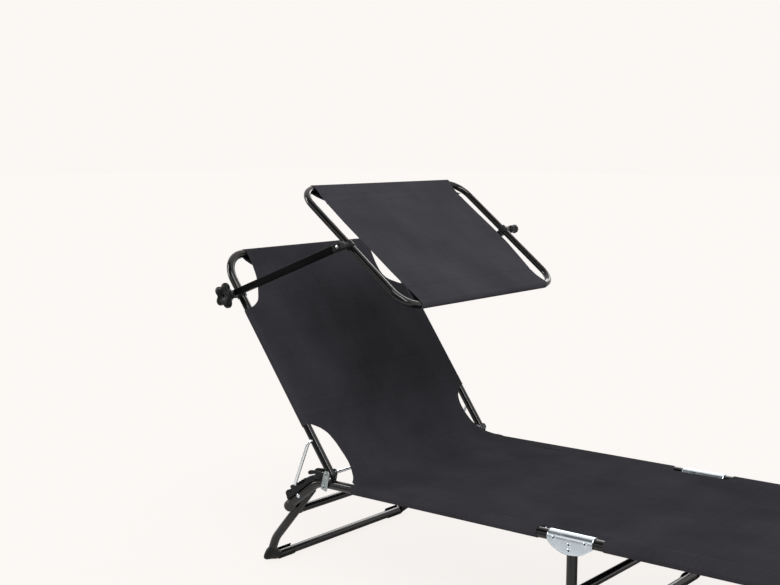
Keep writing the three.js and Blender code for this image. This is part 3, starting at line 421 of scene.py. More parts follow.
# A dark zinc colour for the rivets' hollows: painted shade, not the metal's own colour.
RIVET_HOLLOW_PAINTED_SHADE = zinc_plate("rivet_hollow_painted_shade", ("#33373a", "#4c5154"), 0.5)
PLASTIC = moulded_plastic("black_polypropylene", ("#131315", "#1b1b1e"), 0.4, 0.2)
PLUG_PLASTIC = moulded_plastic("dark_grey_polypropylene", ("#2b2828", "#353131"), 0.4, 0.3)
KNOB_PLASTIC = moulded_plastic("black_nylon", ("#0b0b0c", "#121214"), 0.3, 0.2)
DRAWN_THREAD = 1.6
CLOTH = woven_polyester("charcoal_woven_polyester", ("#302f33", "#403f44"), DRAWN_THREAD)
# The canopy's cloth is the seat's fabric, painted lighter for the light that it catches: painted light.
CANOPY_CLOTH_PAINTED_LIGHT = woven_polyester("canopy_polyester_painted_lighter", ("#3b3a3f", "#49484d"), DRAWN_THREAD)
THREAD = sewing_thread()


# Pieces

def new_mesh(name, shells):
    """A mesh in metres from its shells in millimetres."""
    points, faces, offset = [], [], 0
    for shell_points, shell_faces in shells:
        points.append(metres(shell_points))
        faces += [[k + offset for k in face] for face in shell_faces]
        offset += len(shell_points)
    mesh = bpy.data.meshes.new(name)
    mesh.from_pydata(np.concatenate(points).tolist(), [], faces)
    return mesh


def weld_seams(mesh):
    """Merges the doubled points along seams, and turns every face outwards."""
    work = bmesh.new()
    work.from_mesh(mesh)
    bmesh.ops.remove_doubles(work, verts=work.verts, dist=WELD_DISTANCE)
    bmesh.ops.recalc_face_normals(work, faces=work.faces)
    work.to_mesh(mesh)
    work.free()
    mesh.shade_smooth()


def hand_over(name, mesh, finish, body, nodes):
    """The mesh as a named object: its material, the body it rides and the nodes it replaces."""
    mesh.materials.append(finish)
    made = bpy.data.objects.new(name, mesh)
    bpy.context.scene.collection.objects.link(made)
    if body:
        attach(made, body)
    if nodes:
        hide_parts(*nodes)
    return made


def piece(name, shells, finish, body=None, nodes=(), bevel=None, bevel_angle=50.0, crease=32.0):
    """One named piece from its shells: welded, faces turned outwards, shaded smooth but for sharp edges."""
    mesh = new_mesh(name, shells)
    weld_seams(mesh)
    mesh.set_sharp_from_angle(angle=math.radians(crease))
    made = hand_over(name, mesh, finish, body, nodes)
    if bevel:
        edge = made.modifiers.new("edge", "BEVEL")
        edge.width = bevel * MM
        edge.segments = 2
        edge.limit_method = "ANGLE"
        edge.angle_limit = math.radians(bevel_angle)
        edge.harden_normals = True
    return made


# Camera: it stands where the photograph was taken from

def photo_camera():
    """The camera whose place, direction, focal length and shift give the photograph's framing."""
    data = bpy.data.cameras.new("photo_camera")
    data.sensor_width = 36.0
    data.lens = 56.115
    data.shift_x = -0.0845
    data.shift_y = 0.1813
    camera = bpy.data.objects.new("photo_camera", data)
    camera.location = metres((1191.3, -2229.3, 1008.1))
    camera.rotation_euler = (math.radians(90.0 - 13.63), 0.0, math.radians(37.29))
    bpy.context.scene.collection.objects.link(camera)
    bpy.context.scene.camera = camera


photo_camera()

# Seat rails

DIP_CORNER = DIP_R * math.tan(DIP_ANGLE / 2)
TAIL_END = on_dip(BEND_RUN + TAIL, 0.0, 0.0)

for side_name, side in SIDES:
    y = side * HALF_WIDTH
    corners = [(-HINGE_HALF, y, LYING), (-DIP_START - DIP_CORNER, y, LYING), (TAIL_END[0], y, TAIL_END[2])]
    rail = tube(corners, [DIP_R], RAIL_R, ACROSS, dome=1.0, ends=(True, False))
    piece(f"side_rail_{side_name}", [rail], COAT, "seat_frame", [f"seat_rail_{side_name}"])

    plug_end = BEND_RUN + TAIL
    belly_at, belly_r, belly_shift = 5.0, 14.0, -3.0
    rows = [(-13.0, RAIL_R + 0.1, 0.0), (-12.4, RAIL_R + 0.9, 0.0), (-6.0, RAIL_R + 1.2, -0.4),
            (0.0, 13.2, -1.6), (belly_at, belly_r, belly_shift)]
    rows += [(belly_at + 10.0 * math.sin(t), belly_r * (0.06 + 0.94 * math.cos(t)), belly_shift)
             for t in np.linspace(0.0, math.pi / 2, 7)[1:]]
    spin = np.linspace(0.0, 2 * math.pi, 28, endpoint=False)
    grid = np.stack([on_dip(plug_end + on, y + r * np.sin(spin), r * np.cos(spin) + shift)
                     for on, r, shift in rows])
    piece(f"rail_end_plug_{side_name}", [skin(grid, around=True, caps=True)], PLUG_PLASTIC, "seat_frame",
          [f"rail_plug_{side_name}"])

# Backrest tube

back_corners = [on_back(s, side * HALF_WIDTH, 0.0)
                for s, side in ((-BACK_TAIL, -1), (BACK_LENGTH, -1), (BACK_LENGTH, 1), (-BACK_TAIL, 1))]
piece("backrest_tube", [tube(back_corners, [CORNER_R] * 2, BACK_R, ACROSS)], COAT, "backrest",
      ["backrest_frame"])

# Foot frame tube

foot_corners = [(x, side * HALF_WIDTH, LYING)
                for x, side in ((HINGE_HALF, -1), (FOOT_BAR, -1), (FOOT_BAR, 1), (HINGE_HALF, 1))]
piece("foot_tube", [tube(foot_corners, [CORNER_R] * 2, RAIL_R, (0, 0, 1), dome=1.0)], COAT, "foot_frame",
      ["foot_frame_tube"])


# Legs

def weld(centre, radius, axis_y):
    """A weld bead: a thin ring round a bar's end, where it meets the tube that carries it."""
    a = np.linspace(0.0, 2 * math.pi, 40, endpoint=False)
    wobble = radius + 0.25 * np.sin(9 * a)
    points = np.stack([
        centre[0] + wobble * np.cos(a), np.full(40, axis_y), centre[2] + wobble * np.sin(a)], axis=-1)
    tangents = np.stack([-np.sin(a), np.zeros(40), np.cos(a)], axis=-1)
    return skin(swept(points, tangents, ring(1.5, 8), ACROSS), around=True, loop=True)


def stretcher(name, body, centre, tube_y, tube_r):
    """A bar across between a leg's two tubes, let 1 mm into each, with a weld bead at each end."""
    inner = tube_y - tube_r
    end = ACROSS * (inner + 1.0)
    shells = [tube([centre - end, centre + end], [], STRETCHER_R, (0, 0, 1), dome=0.2)]
    shells += [weld(centre, STRETCHER_R - 0.3, side * (inner + 0.6)) for _, side in SIDES]
    piece(name, shells, COAT, body)


def folding_leg(name, body, pivot, out, upper_angle, upper_length, lower_angle, heel_share=1.1):
    """A bent U of tube with a stretcher across it and a plastic cap on each bottom corner. It leaves its
    pivot at one slope and ends at a steeper one. out is 1 where it leans to the foot end, else -1."""
    upper, lower = math.radians(upper_angle), math.radians(lower_angle)
    down = np.array([out * math.cos(upper), -math.sin(upper)])
    bend = pivot + upper_length * down
    foot = np.array([bend[0] + out * (bend[1] - FOLDING_BAR_Z) / math.tan(lower), FOLDING_BAR_Z])
    half = [pivot - 12.0 * down, bend, foot]
    corners = [(x, -LEG_Y, z) for x, z in half] + [(x, LEG_Y, z) for x, z in half[::-1]]
    radii = [LEG_BEND_R, LEG_CORNER_R, LEG_CORNER_R, LEG_BEND_R]
    piece(f"{name}_leg_tube", [tube(corners, radii, LEG_R, ACROSS)], COAT, body, [f"{name}_leg_frame"])
    middle = pivot + LEG_STRETCHER_AT * down
    stretcher(f"{name}_leg_stretcher", body, np.array([middle[0], 0.0, middle[1]]), LEG_Y, LEG_R)
    for side_name, side in SIDES:
        foot_cap(f"{name}_leg_cap_{side_name}", body, foot, side, LEG_Y, LEG_R, f"{name}_foot_cap_{side_name}",
                 -out / math.tan(lower), heel_share)


def foot_cap(name, body, foot, side, tube_y, radius, node, lean, heel_share=1.1):
    """A moulded boot clipped on a leg's bottom corner. Round the bend it is a sleeve whose outside is
    drawn out to a squarer heel and pressed flat on the floor; its mouth slopes down inwards. Along the
    bar it is an open channel whose back wall ends in a raised lip. lean is how far it shifts along X
    for each millimetre of height, as the leg does. heel_share is how far the heel stands out."""
    wall, bend = 2.0, LEG_CORNER_R
    a = np.linspace(0.0, 2 * math.pi, 40, endpoint=False)[None]
    turn = np.linspace(0.0, 1.0, 20)[:, None]
    turn = (turn + (1 - turn) * 0.2 * (1 - np.cos(a)) / 2) * math.pi / 2
    swell = radius + wall * np.concatenate([[0.1, 0.7], np.ones(18)])[:, None]
    boxy = np.where(np.sin(a) < 0, 0.75, 1.0)
    bulge = np.exp(-((turn - 0.54) / 0.33) ** 2) * np.maximum(np.cos(a), 0.0) ** (2 * boxy - 1)
    heel = 1.0 + heel_share * bulge
    outward = swell * np.sign(np.cos(a)) * np.abs(np.cos(a)) ** boxy * heel + bend
    y = side * (tube_y - bend + outward * np.cos(turn))
    z = np.maximum(foot[1] + bend - outward * np.sin(turn), 0.1)
    x = foot[0] + swell * np.sign(np.sin(a)) * np.abs(np.sin(a)) ** boxy + lean * (z - foot[1])
    shells = [skin(np.stack([x, y, z], axis=-1), around=True, caps=True)]
    back = np.radians(np.linspace(142.0, 338.0, 26))
    face = radius + wall
    outer = np.stack([face * np.cos(back), face * np.sin(back)], axis=-1)
    inner = (radius + 0.1) * np.stack([np.cos(back), np.sin(back)], axis=-1)
    lip = np.array([(-4.6, radius + 3.6), (-5.6, radius + 4.6), (-7.4, radius + 2.4)])
    channel = np.concatenate([lip, outer, inner[::-1]]) + foot
    channel[:, 1] = np.maximum(channel[:, 1], 0.1)
    shells.append(prism(channel, side * (tube_y - bend + 2.0), side * (tube_y - bend - 48.0)))
    piece(name, shells, PLASTIC, body, [node], bevel=0.4, bevel_angle=45, crease=40)


head_pivot = on_dip(BEND_RUN + 49.0, 0.0, 0.0)[[0, 2]]
foot_pivot = np.array([FOOT_BAR - 95.0, LYING])
folding_leg("head", "head_leg", head_pivot, -1.0, 48.6, 180.0, 67.2)
folding_leg("foot", "foot_leg", foot_pivot, 1.0, 64.0, 150.0, 76.0, heel_share=0.45)

mid_corners = [(0.0, side * HALF_WIDTH, z)
               for side, z in ((-1, LYING - 2.0), (-1, MID_BAR_Z), (1, MID_BAR_Z), (1, LYING - 2.0))]
piece("mid_leg_tube", [tube(mid_corners, [LEG_CORNER_R] * 2, RAIL_R, (1, 0, 0), dome=0.2)], COAT, "mid_leg",
      ["mid_leg_frame"])
stretcher("mid_leg_stretcher", "mid_leg", np.array([0.0, 0.0, MID_STRETCHER_Z]), HALF_WIDTH, RAIL_R)
for side_name, side in SIDES:
    foot_cap(f"mid_leg_cap_{side_name}", "mid_leg", np.array([0.0, MID_BAR_Z]), side, HALF_WIDTH, RAIL_R,
             f"mid_foot_cap_{side_name}", 0.0)


# Rivets

def packed_box(node):
    """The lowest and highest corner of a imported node, in this script's millimetres."""
    return [(np.array(corner) - [HINGE_X, 0.0, 0.0]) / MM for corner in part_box(node)]


def rivet(name, node, body, finish, shift=(0.0, 0.0, 0.0), grow=0.0):
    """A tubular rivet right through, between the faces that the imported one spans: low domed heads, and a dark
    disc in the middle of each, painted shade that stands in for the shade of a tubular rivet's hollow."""
    low, high = packed_box(node)
    centre = (low + high) / 2 + np.array(shift)
    head, shank, rise = 4.6, 3.0, 1.6
    face = (high[1] - low[1]) / 2 + grow - 1.8
    dome = [(head, -face), (head * 0.97, -face - rise * 0.35), (head * 0.8, -face - rise * 0.72),
            (head * 0.5, -face - rise * 0.92), (head * 0.12, -face - rise)]
    profile = dome[::-1] + [(shank, -face), (shank, face)] + [(r, -y) for r, y in dome]
    piece(name, [turned(profile, centre, 28)], finish, body, [node])
    # A dark disc on each head's middle, not a real recess: painted shade for the rivet's hollow.
    hollow = [(0.2, face + rise + 0.15), (1.9, face + rise + 0.1), (2.2, face + rise * 0.9), (1.0, face)]
    piece(f"{name}_hollow", [turned(hollow, centre, 20, side) for _, side in SIDES], RIVET_HOLLOW_PAINTED_SHADE, body)


for side_name, _ in SIDES:
    rivet(f"backrest_rivet_{side_name}", f"backrest_pivot_rivet_{side_name}", "seat_frame", PLATE_ZINC,
          grow=0.9)
    rivet(f"lower_plate_rivet_{side_name}", f"plate_rivet_{side_name}", "seat_frame", PLATE_ZINC,
          (-8.6, 0.0, -4.6), 0.9)
    for node in ("seat_pivot_rivet", "foot_pivot_rivet", "leg_rivet_upper", "leg_rivet_lower"):
        rivet(f"{node}_head_{side_name}", f"{node}_{side_name}", "mid_leg", ZINC)


def leg_pin(name, side, node, body):
    """A leg's rivet: a domed head on the rail, a spacer collar, and a domed head inside the leg."""
    low, high = packed_box(node)
    centre = (low + high) / 2
    outer, inner = max(abs(low[1]), abs(high[1])), min(abs(low[1]), abs(high[1]))
    rail_out, leg_in = outer - 1.8, inner + 1.8
    shank, collar, collar_in, collar_out = 3.0, 7.75, 270.3, 276.2
    profile = [(0.6, outer + 0.1), (shank, outer - 0.3), (4.5, outer - 1.1), (4.8, rail_out), (shank, rail_out),
               (shank, collar_out), (collar - 0.35, collar_out), (collar, collar_out - 0.6),
               (collar, collar_in + 0.7), (collar - 0.35, collar_in), (shank, collar_in),
               (shank, leg_in), (5.6, leg_in), (5.2, leg_in - 0.9), (3.4, leg_in - 1.6), (0.6, leg_in - 1.9)]
    piece(name, [turned(profile, (centre[0], 0.0, centre[2]), 28, side)], ZINC, body, [node])


for side_name, side in SIDES:
    leg_pin(f"head_leg_pin_{side_name}", side, f"head_leg_rivet_{side_name}", "seat_frame")
    leg_pin(f"foot_leg_pin_{side_name}", side, f"foot_leg_rivet_{side_name}", "foot_frame")


# Backrest hinge plates

def hinge_plate(name, side, face, node):
    """A pressed zinc plate: straight sides that fall from a round top, leaning towards the head, with
    its edges rolled over and a small dimple under the pivot."""
    pivot = BACK_PIVOT[[0, 2]]
    down = np.array([-math.sin(PLATE_LEAN), -math.cos(PLATE_LEAN)])
    right = np.array([math.cos(PLATE_LEAN), -math.sin(PLATE_LEAN)])
    turn = np.linspace(0.0, math.pi, 17)[:, None]
    top = 8.4 * (right * np.cos(turn) - down * np.sin(turn))
    foot = np.array([right * h + down * v for h, v in ((-9.6, 38.0), (-7.4, 40.4), (7.4, 40.4), (9.6, 38.0))])
    inner, outer = HALF_WIDTH + face * 12.8, HALF_WIDTH + face * 14.6
    spot = pivot + down * 9.0
    dimple = [(r, outer + face * rise)
              for r, rise in ((0.3, 0.1), (1.1, 0.15), (1.6, 0.7), (2.2, 0.5), (2.6, -0.2), (0.3, -0.2))]
    shells = [prism(np.concatenate([top, foot]) + pivot, side * inner, side * outer),
              turned(dimple, (spot[0], 0.0, spot[1]), 20, side)]
    piece(name, shells, PLATE_ZINC, "seat_frame", [node], bevel=0.5)


for side_name, side in SIDES:
    hinge_plate(f"outer_plate_{side_name}", side, 1.0, f"hinge_plate_outer_{side_name}")
    hinge_plate(f"inner_plate_{side_name}", side, -1.0, f"hinge_plate_inner_{side_name}")


# Mid hinge saddles

def saddle(name, side, node):
    """A zinc sheet folded over the two rail ends: an inverted U whose sides hang lower towards the
    middle, as part of a large circle."""
    half, inner = 52.0, RAIL_R + 0.4
    hang, end_hang, corner, wall = 30.0, 8.0, 5.0, 1.8
    x = np.linspace(-half, half, 61)
    sag = hang - end_hang
    radius = (half * half + sag * sag) / (2 * sag)
    low = LYING - hang + radius - np.sqrt(radius * radius - x * x)
    ends = np.clip((half - np.abs(x)) / corner, 0.0, 1.0)
    low = low + (1 - np.sqrt(1 - (1 - ends) ** 2)) * corner

    def row(y, z):
        return np.stack([x, np.full(61, y + side * HALF_WIDTH), z + 0 * x], axis=-1)

    down = np.linspace(1.0, 0.0, 9)[:-1]
    rows = [row(-inner, low + (LYING - low) * (1 - share)) for share in down]
    rows += [row(-inner * math.cos(a), LYING + inner * math.sin(a)) for a in np.linspace(0.0, math.pi, 25)]
    rows += [row(inner, low + (LYING - low) * (1 - share)) for share in down[::-1]]
    made = piece(name, [skin(np.stack(rows))], ZINC, "mid_leg", [node], crease=60)
    sheet = made.modifiers.new("wall", "SOLIDIFY")
    sheet.thickness = wall * MM
    sheet.offset = 1.0


for side_name, side in SIDES:
    saddle(f"hinge_saddle_{side_name}", side, f"fold_saddle_{side_name}")


# Toothed racks

def under_tube(run):
    """How far out from the rail's line a place under the flat backrest tube may stand: the height from
    the rail's centre up to the tube's underside, shared out along the slope."""
    low, high = on_dip(run, 0.0, 0.0)[..., 2], on_dip(run, 0.0, 1.0)[..., 2]
    return float((BACK_PIVOT[2] - BACK_R - 0.8 - low) / (high - low))


def rack(name, side, node):
    """A moulded rack on the rail's dip. Its outline is drawn in the rail's run and its distance out
    from the rail's centre line, and carried across: a foot that follows the rail, notches between
    upright teeth, two taller blocks at the low end, and a horn on each cheek over the first notch.
    Between the cheeks it is hollowed for the backrest tube, which lies there when it is flat."""
    y = side * HALF_WIDTH
    half, cheek_in, pitch = 12.5, 9.9, 9.0
    rest = BEND_RUN + STRUT_SEAT[0]

    def profile(points):
        """An outline of runs and distances out, turned to X and Z."""
        runs, outs = np.array(points, float).T
        return on_dip(runs, 0.0, outs)[:, [0, 2]]

    foot = [(run, 8.0) for run in np.linspace(-3.5, BEND_RUN + 85.0, 26)]
    blocks = [(85.0, 13.0), (83.0, 16.5), (81.6, 23.0), (79.6, 25.8), (76.0, 27.0), (71.6, 27.8), (69.4, 26.6),
              (68.2, 23.0), (67.0, 17.0), (59.6, 17.0), (58.4, 24.0), (57.6, 28.6), (55.6, 30.8), (53.0, 31.1),
              (49.6, 30.0), (46.4, 27.2), (43.4, 25.6), (41.2, 24.4), (40.5, 22.6)]
    upper = [(BEND_RUN + run, out) for run, out in blocks]
    for k, (floor, tip) in enumerate(((19.9, 27.0), (17.9, 26.3), (15.4, 25.6), (15.4, 24.6))):
        notch = rest - pitch * k
        upper += [(notch + 3.6, floor + 1.8), (notch + 2.2, floor), (notch - 2.2, floor),
                  (notch - 3.6, floor + 1.8)]
        tooth = notch - pitch / 2
        upper += [(tooth + 0.9, tip - 1.4), (tooth + 0.4, tip), (tooth - 0.7, tip - 0.5),
                  (tooth - 0.9, tip - 2.2)]
    first = rest - 4 * pitch
    lead = [(first + 3.2, 20.6), (first + 1.6, 21.4)]
    toe = [(5.0, 19.5), (-4.8, 16.6)]
    upper += lead + [(run, 21.2) for run in np.linspace(first - 2.0, 9.0, 8)] + toe
    cradle = [(run, min(out, under_tube(run))) for run, out in upper]
    shells = [prism(profile(foot + cradle), y - half, y + half)]

    brim = [(first + 3.2, 12.0)] + lead + [(first - 2.0, 21.2), (9.0, 21.2)] + toe + [(-4.8, 12.0)]
    horn = [(-4.8, 14.5), (4.0, 14.5), (7.0, 16.4), (8.6, 19.4), (11.0, 21.8), (16.0, 23.2), (23.0, 23.8),
            (26.2, 24.6), (28.2, 27.0), (28.0, 31.0), (26.0, 33.0), (22.0, 33.7), (14.0, 31.6), (6.0, 29.8),
            (-2.0, 28.0), (-7.0, 26.4), (-10.4, 23.6)]
    rib = [(BEND_RUN + run, out) for run, out in ((44.0, 11.0), (78.0, 11.0), (78.0, 12.6), (44.0, 12.6))]
    for outline, near, far in ((brim, cheek_in, half), (horn, cheek_in, half), (rib, half - 0.3, half + 0.7)):
        shells += [prism(profile(outline), y + cheek * near, y + cheek * far) for cheek in (-1, 1)]
    piece(name, shells, PLASTIC, "seat_frame", [node], bevel=0.5, bevel_angle=24)


for side_name, side in SIDES:
    rack(f"toothed_rack_{side_name}", side, f"notch_rack_{side_name}")

# Strut

HOOK = on_back(HOOK_AT, 0.0, 0.0)
SEAT = on_dip(BEND_RUN + STRUT_SEAT[0], 0.0, STRUT_SEAT[1])
strut_corners = [HOOK - ACROSS * HOOK_Y, HOOK - ACROSS * STRUT_SIDE, SEAT - ACROSS * STRUT_SIDE,
                 SEAT + ACROSS * STRUT_SIDE, HOOK + ACROSS * STRUT_SIDE, HOOK + ACROSS * HOOK_Y]
piece("bent_strut", [tube(strut_corners, [9.0] * 4, STRUT_R, (1, 0, 0), dome=0.8, sides=20)], ROD_ZINC, "strut",
      ["backrest_strut"])

# Canopy arms

for side_name, side in SIDES:
    middle = side * ARM_Y * ACROSS
    direction = (ARM_END - ARM_PIVOT) / ARM_LENGTH
    start, stop = ARM_PIVOT - direction * 7.0 + middle, ARM_END + direction * 7.0 + middle
    bar = tube([start, stop], [], ARM_HALF, ACROSS, profile=rounded_square(ARM_HALF, 1.5), ends=(False, False))
    piece(f"square_arm_{side_name}", [bar], ARM_COAT, "canopy_arms", [f"canopy_arm_{side_name}"], bevel=0.4)
    sleeve_half = ARM_HALF + 0.9
    sleeve_ends = [ARM_END - direction * 15.0 + middle, stop + direction * 0.4]
    sleeve = tube(sleeve_ends, [], sleeve_half, ACROSS, dome=0.5, profile=rounded_square(sleeve_half, 2.4),
                  ends=(False, True))
    piece(f"arm_end_sleeve_{side_name}", [sleeve], PLASTIC, "canopy_arms", bevel=0.3)


# Brackets, clamps, bolts and knobs

def tube_collar(name, place, axis, side, tube_y, tube_r, wall, length, boss_r, body, node):
    """A moulded collar round a tube, with a round boss that reaches out to the arm."""
    outer, bore = tube_r + wall, tube_r + 0.3
    a = np.linspace(0.0, 2 * math.pi, 36, endpoint=False)
    rows = [(-length / 2, bore), (-length / 2, outer - 1.0), (-length / 2 + 1.0, outer),
            (length / 2 - 1.0, outer), (length / 2, outer - 1.0), (length / 2, bore)]
    up = np.array([-axis[2], 0.0, axis[0]])
    spokes = np.cos(a)[:, None] * up + np.sin(a)[:, None] * ACROSS
    grid = np.stack([place + axis * along + ACROSS * side * tube_y + r * spokes for along, r in rows])
    inner, face = tube_y + tube_r + 0.6, ARM_IN - 0.4
    boss = [(1.0, inner), (boss_r, inner), (boss_r, face - 1.2), (boss_r - 1.2, face), (1.0, face)]
    shells = [skin(grid, around=True, loop=True), turned(boss, place, 36, side)]
    piece(name, shells, PLASTIC, body, [node], crease=35)


back_axis = np.array([-math.cos(BACK_ANGLE), 0.0, math.sin(BACK_ANGLE)])
canopy_axis = np.array([math.cos(CANOPY_TILT), 0.0, -math.sin(CANOPY_TILT)])

for side_name, side in SIDES:
    tube_collar(f"arm_collar_{side_name}", ARM_PIVOT, back_axis, side, HALF_WIDTH, BACK_R, 2.4, 19.0, 9.0,
                "backrest", f"arm_bracket_{side_name}")
    tube_collar(f"canopy_collar_{side_name}", ARM_END, canopy_axis, side, CANOPY_SIDE, CANOPY_R, 2.6, 17.0, 8.0,
                "canopy", f"canopy_clamp_{side_name}")
    shaft = [(1.0, BOLT_IN), (3.9, BOLT_IN), (3.9, ARM_OUT + 11.5), (1.0, ARM_OUT + 11.9)]
    piece(f"arm_bolt_shaft_{side_name}", [turned(shaft, ARM_PIVOT, 24, side)], ZINC, "backrest",
          [f"arm_bolt_{side_name}"])


def star_knob(name, side, place, face, radius, lobes, draw, hub_r, hub, thick, body, node):
    """A moulded clamping knob: a hub, then a head whose round lobes stand out between scallops, with
    a rolled rim and a small round hole in its face. Each row holds a radius, a place along the bolt,
    and how much of the scallops' depth is drawn in there."""
    y0, y1 = face + hub, face + hub + thick
    rows = [(2.0, face, 0.0), (hub_r - 0.8, face, 0.0), (hub_r, face + 0.8, 0.0), (hub_r, y0 - 1.0, 0.0),
            (hub_r + 1.5, y0, 0.0), (radius * 0.72, y0 + 0.2, 0.7), (radius * 0.93, y0 + 1.2, 0.95),
            (radius, y0 + thick * 0.3, 1.0), (radius, y0 + thick * 0.68, 1.0), (radius * 0.95, y1 - 1.4, 0.98),
            (radius * 0.84, y1 - 0.2, 0.85), (radius * 0.62, y1, 0.55), (radius * 0.45, y1 - 0.5, 0.15),
            (radius * 0.17, y1 - 0.8, 0.0), (radius * 0.14, y1 - 1.4, 0.0), (radius * 0.12, y1 - 5.0, 0.0),
            (1.0, y1 - 5.2, 0.0)]
    head = turned([(r, y) for r, y, _ in rows], place, lobes * 16, side, lobes,
                  [draw * share for _, _, share in rows], math.radians(28.0))
    piece(name, [head], KNOB_PLASTIC, body, [node], crease=50)


for side_name, side in SIDES:
    star_knob(f"star_knob_{side_name}", side, ARM_PIVOT, ARM_OUT + 0.4, 30.0, 5, 9.0, 16.0, 6.0, 13.5,
              f"arm_knob_{side_name}_body", f"arm_knob_{side_name}")
star_knob("canopy_small_knob", 1.0, ARM_END, ARM_OUT + 0.8, 11.0, 10, 1.4, 7.0, 3.0, 11.0, "canopy_knob_body",
          "canopy_knob_far")

near_bolt = [(0.8, BOLT_IN), (2.6, BOLT_IN), (2.6, ARM_OUT + 1.0), (3.6, ARM_OUT + 1.0), (3.6, ARM_OUT + 1.5),
             (3.2, ARM_OUT + 2.4), (2.1, ARM_OUT + 3.0), (0.8, ARM_OUT + 3.2)]
piece("canopy_bolt_head_near", [turned(near_bolt, ARM_END, 28, -1.0)], ROD_ZINC, "canopy", ["canopy_bolt_near"])
far_bolt = [(0.8, BOLT_IN), (2.9, BOLT_IN), (2.9, ARM_OUT + 8.0), (0.8, ARM_OUT + 8.4)]
piece("canopy_bolt_shaft_far", [turned(far_bolt, ARM_END, 24)], ZINC, "canopy", ["canopy_bolt_far"])

# Canopy tube

canopy_corners = [on_canopy(t, side * CANOPY_SIDE, 0.0) for t, side in ((CANOPY_UP, -1), (CANOPY_DOWN, -1),
                                                                      (CANOPY_DOWN, 1), (CANOPY_UP, 1))]
upward = (math.sin(CANOPY_TILT), 0.0, math.cos(CANOPY_TILT))
piece("canopy_tube", [tube(canopy_corners, [CANOPY_CORNER] * 4, CANOPY_R, upward, closed=True)], COAT, "canopy",
      ["canopy_frame"])


# Cloth

def smooth_curve(x, xs, ys):
    """A curve through points that never swings past them. Each slope is the harmonic mean of the two
    beside it, or 0 where they differ in sign, and each span is a cubic with those slopes at its ends."""
    x, xs, ys = np.asarray(x, float), np.asarray(xs, float), np.asarray(ys, float)
    span = np.diff(xs)
    rise = np.diff(ys) / span
    left, right = rise[:-1], rise[1:]
    same = left * right > 0
    mean = 2 * left * right / np.where(same, left + right, 1.0)
    slope = np.concatenate([[rise[0]], np.where(same, mean, 0.0), [rise[-1]]])
    k = np.clip(np.searchsorted(xs, x) - 1, 0, len(span) - 1)
    t = np.clip((x - xs[k]) / span[k], 0.0, 1.0)
    start = ys[k] * (1 + 2 * t) * (1 - t) ** 2 + ys[k + 1] * t * t * (3 - 2 * t)
    return start + span[k] * (slope[k] * t * (1 - t) ** 2 - slope[k + 1] * t * t * (1 - t))


def travelled(points):
    """How far along a line each of its points lies."""
    return np.concatenate([[0.0], np.cumsum(np.linalg.norm(np.diff(points, axis=0), axis=1))])


def nearest_run(line, place):
    """How far along a line in X and Z it comes nearest to a place."""
    target = place[[0, 2]]
    start, step = line[:-1], np.diff(line, axis=0)
    share = np.clip(((target - start) * step).sum(axis=1) / (step * step).sum(axis=1), 0.0, 1.0)
    best = int(np.argmin(np.linalg.norm(start + step * share[:, None] - target, axis=1)))
    length = travelled(line)
    return float(length[best] + share[best] * (length[best + 1] - length[best]))


class Cloth:
    """A stretched cloth: a centre line in X and Z, and how wide the cloth is at each place on it, on
    the near side and, where that differs, on the far side. A point of it is the centre line's point,
    moved across by y and out along the normal by a soft sag and by long shallow waves."""

    def __init__(self, line, near, sag, wave, far=None):
        self.line = line
        self.length = travelled(line)
        tangent = unit(np.gradient(line, self.length, axis=0))
        self.normal = np.stack([-tangent[:, 1], tangent[:, 0]], axis=-1)
        self.near = np.array(near, float).T
        self.far = np.array(far, float).T if far else self.near
        self.sag, self.wave = sag, wave

    def half(self, run, side):
        """From the middle to the edge at a run, on the near side, or the far one where side is above 0."""
        return np.where(np.asarray(side) > 0, smooth_curve(run, *self.far), smooth_curve(run, *self.near))

    def point(self, run, y, lift=0.0):
        """The place at a run along the centre line and y across, lifted off the cloth."""
        run, y = np.broadcast_arrays(np.asarray(run, float), np.asarray(y, float))
        base = np.stack([np.interp(run, self.length, self.line[:, k]) for k in (0, 1)], axis=-1)
        normal = unit(np.stack([np.interp(run, self.length, self.normal[:, k]) for k in (0, 1)], axis=-1))
        half = np.maximum(self.half(run, y), 1.0)
        out = lift - self.sag(run, y / half) + self.wave(run, y)
        place = base + normal * out[..., None]
        return np.stack([place[..., 0], y, place[..., 1]], axis=-1)


def cloth_piece(name, grids, finish, body=None, nodes=()):
    """One sheet from its grids of points, each with its own UV in millimetres, across and along. Its
    area in square metres is half the cross product of each face's diagonals, added up."""
    mesh = new_mesh(name, [skin(grid) for grid, _, _ in grids])
    uvs = np.concatenate([np.stack([u.reshape(-1), v.reshape(-1)], axis=-1) for _, u, v in grids])
    layer = mesh.uv_layers.new(name="cloth")
    corner_vertex = np.empty(len(mesh.loops), dtype=np.int32)
    mesh.loops.foreach_get("vertex_index", corner_vertex)
    layer.data.foreach_set("uv", uvs[corner_vertex].astype(np.float32).reshape(-1))
    weld_seams(mesh)
    loop_edges = np.empty(len(mesh.loops), dtype=np.int32)
    mesh.loops.foreach_get("edge_index", loop_edges)
    rim = np.bincount(loop_edges, minlength=len(mesh.edges)) == 1
    mesh.edges.foreach_set("use_edge_sharp", rim)
    made = hand_over(name, mesh, finish, body, nodes)
    wall = made.modifiers.new("thickness", "SOLIDIFY")
    wall.thickness = CLOTH_THICK * MM
    wall.offset = 0.0
    diagonals = [(grid[1:, 1:] - grid[:-1, :-1], grid[1:, :-1] - grid[:-1, 1:]) for grid, _, _ in grids]
    area = sum(float(np.linalg.norm(np.cross(a, b), axis=-1).sum()) / 2 for a, b in diagonals)
    return made, area * MM * MM


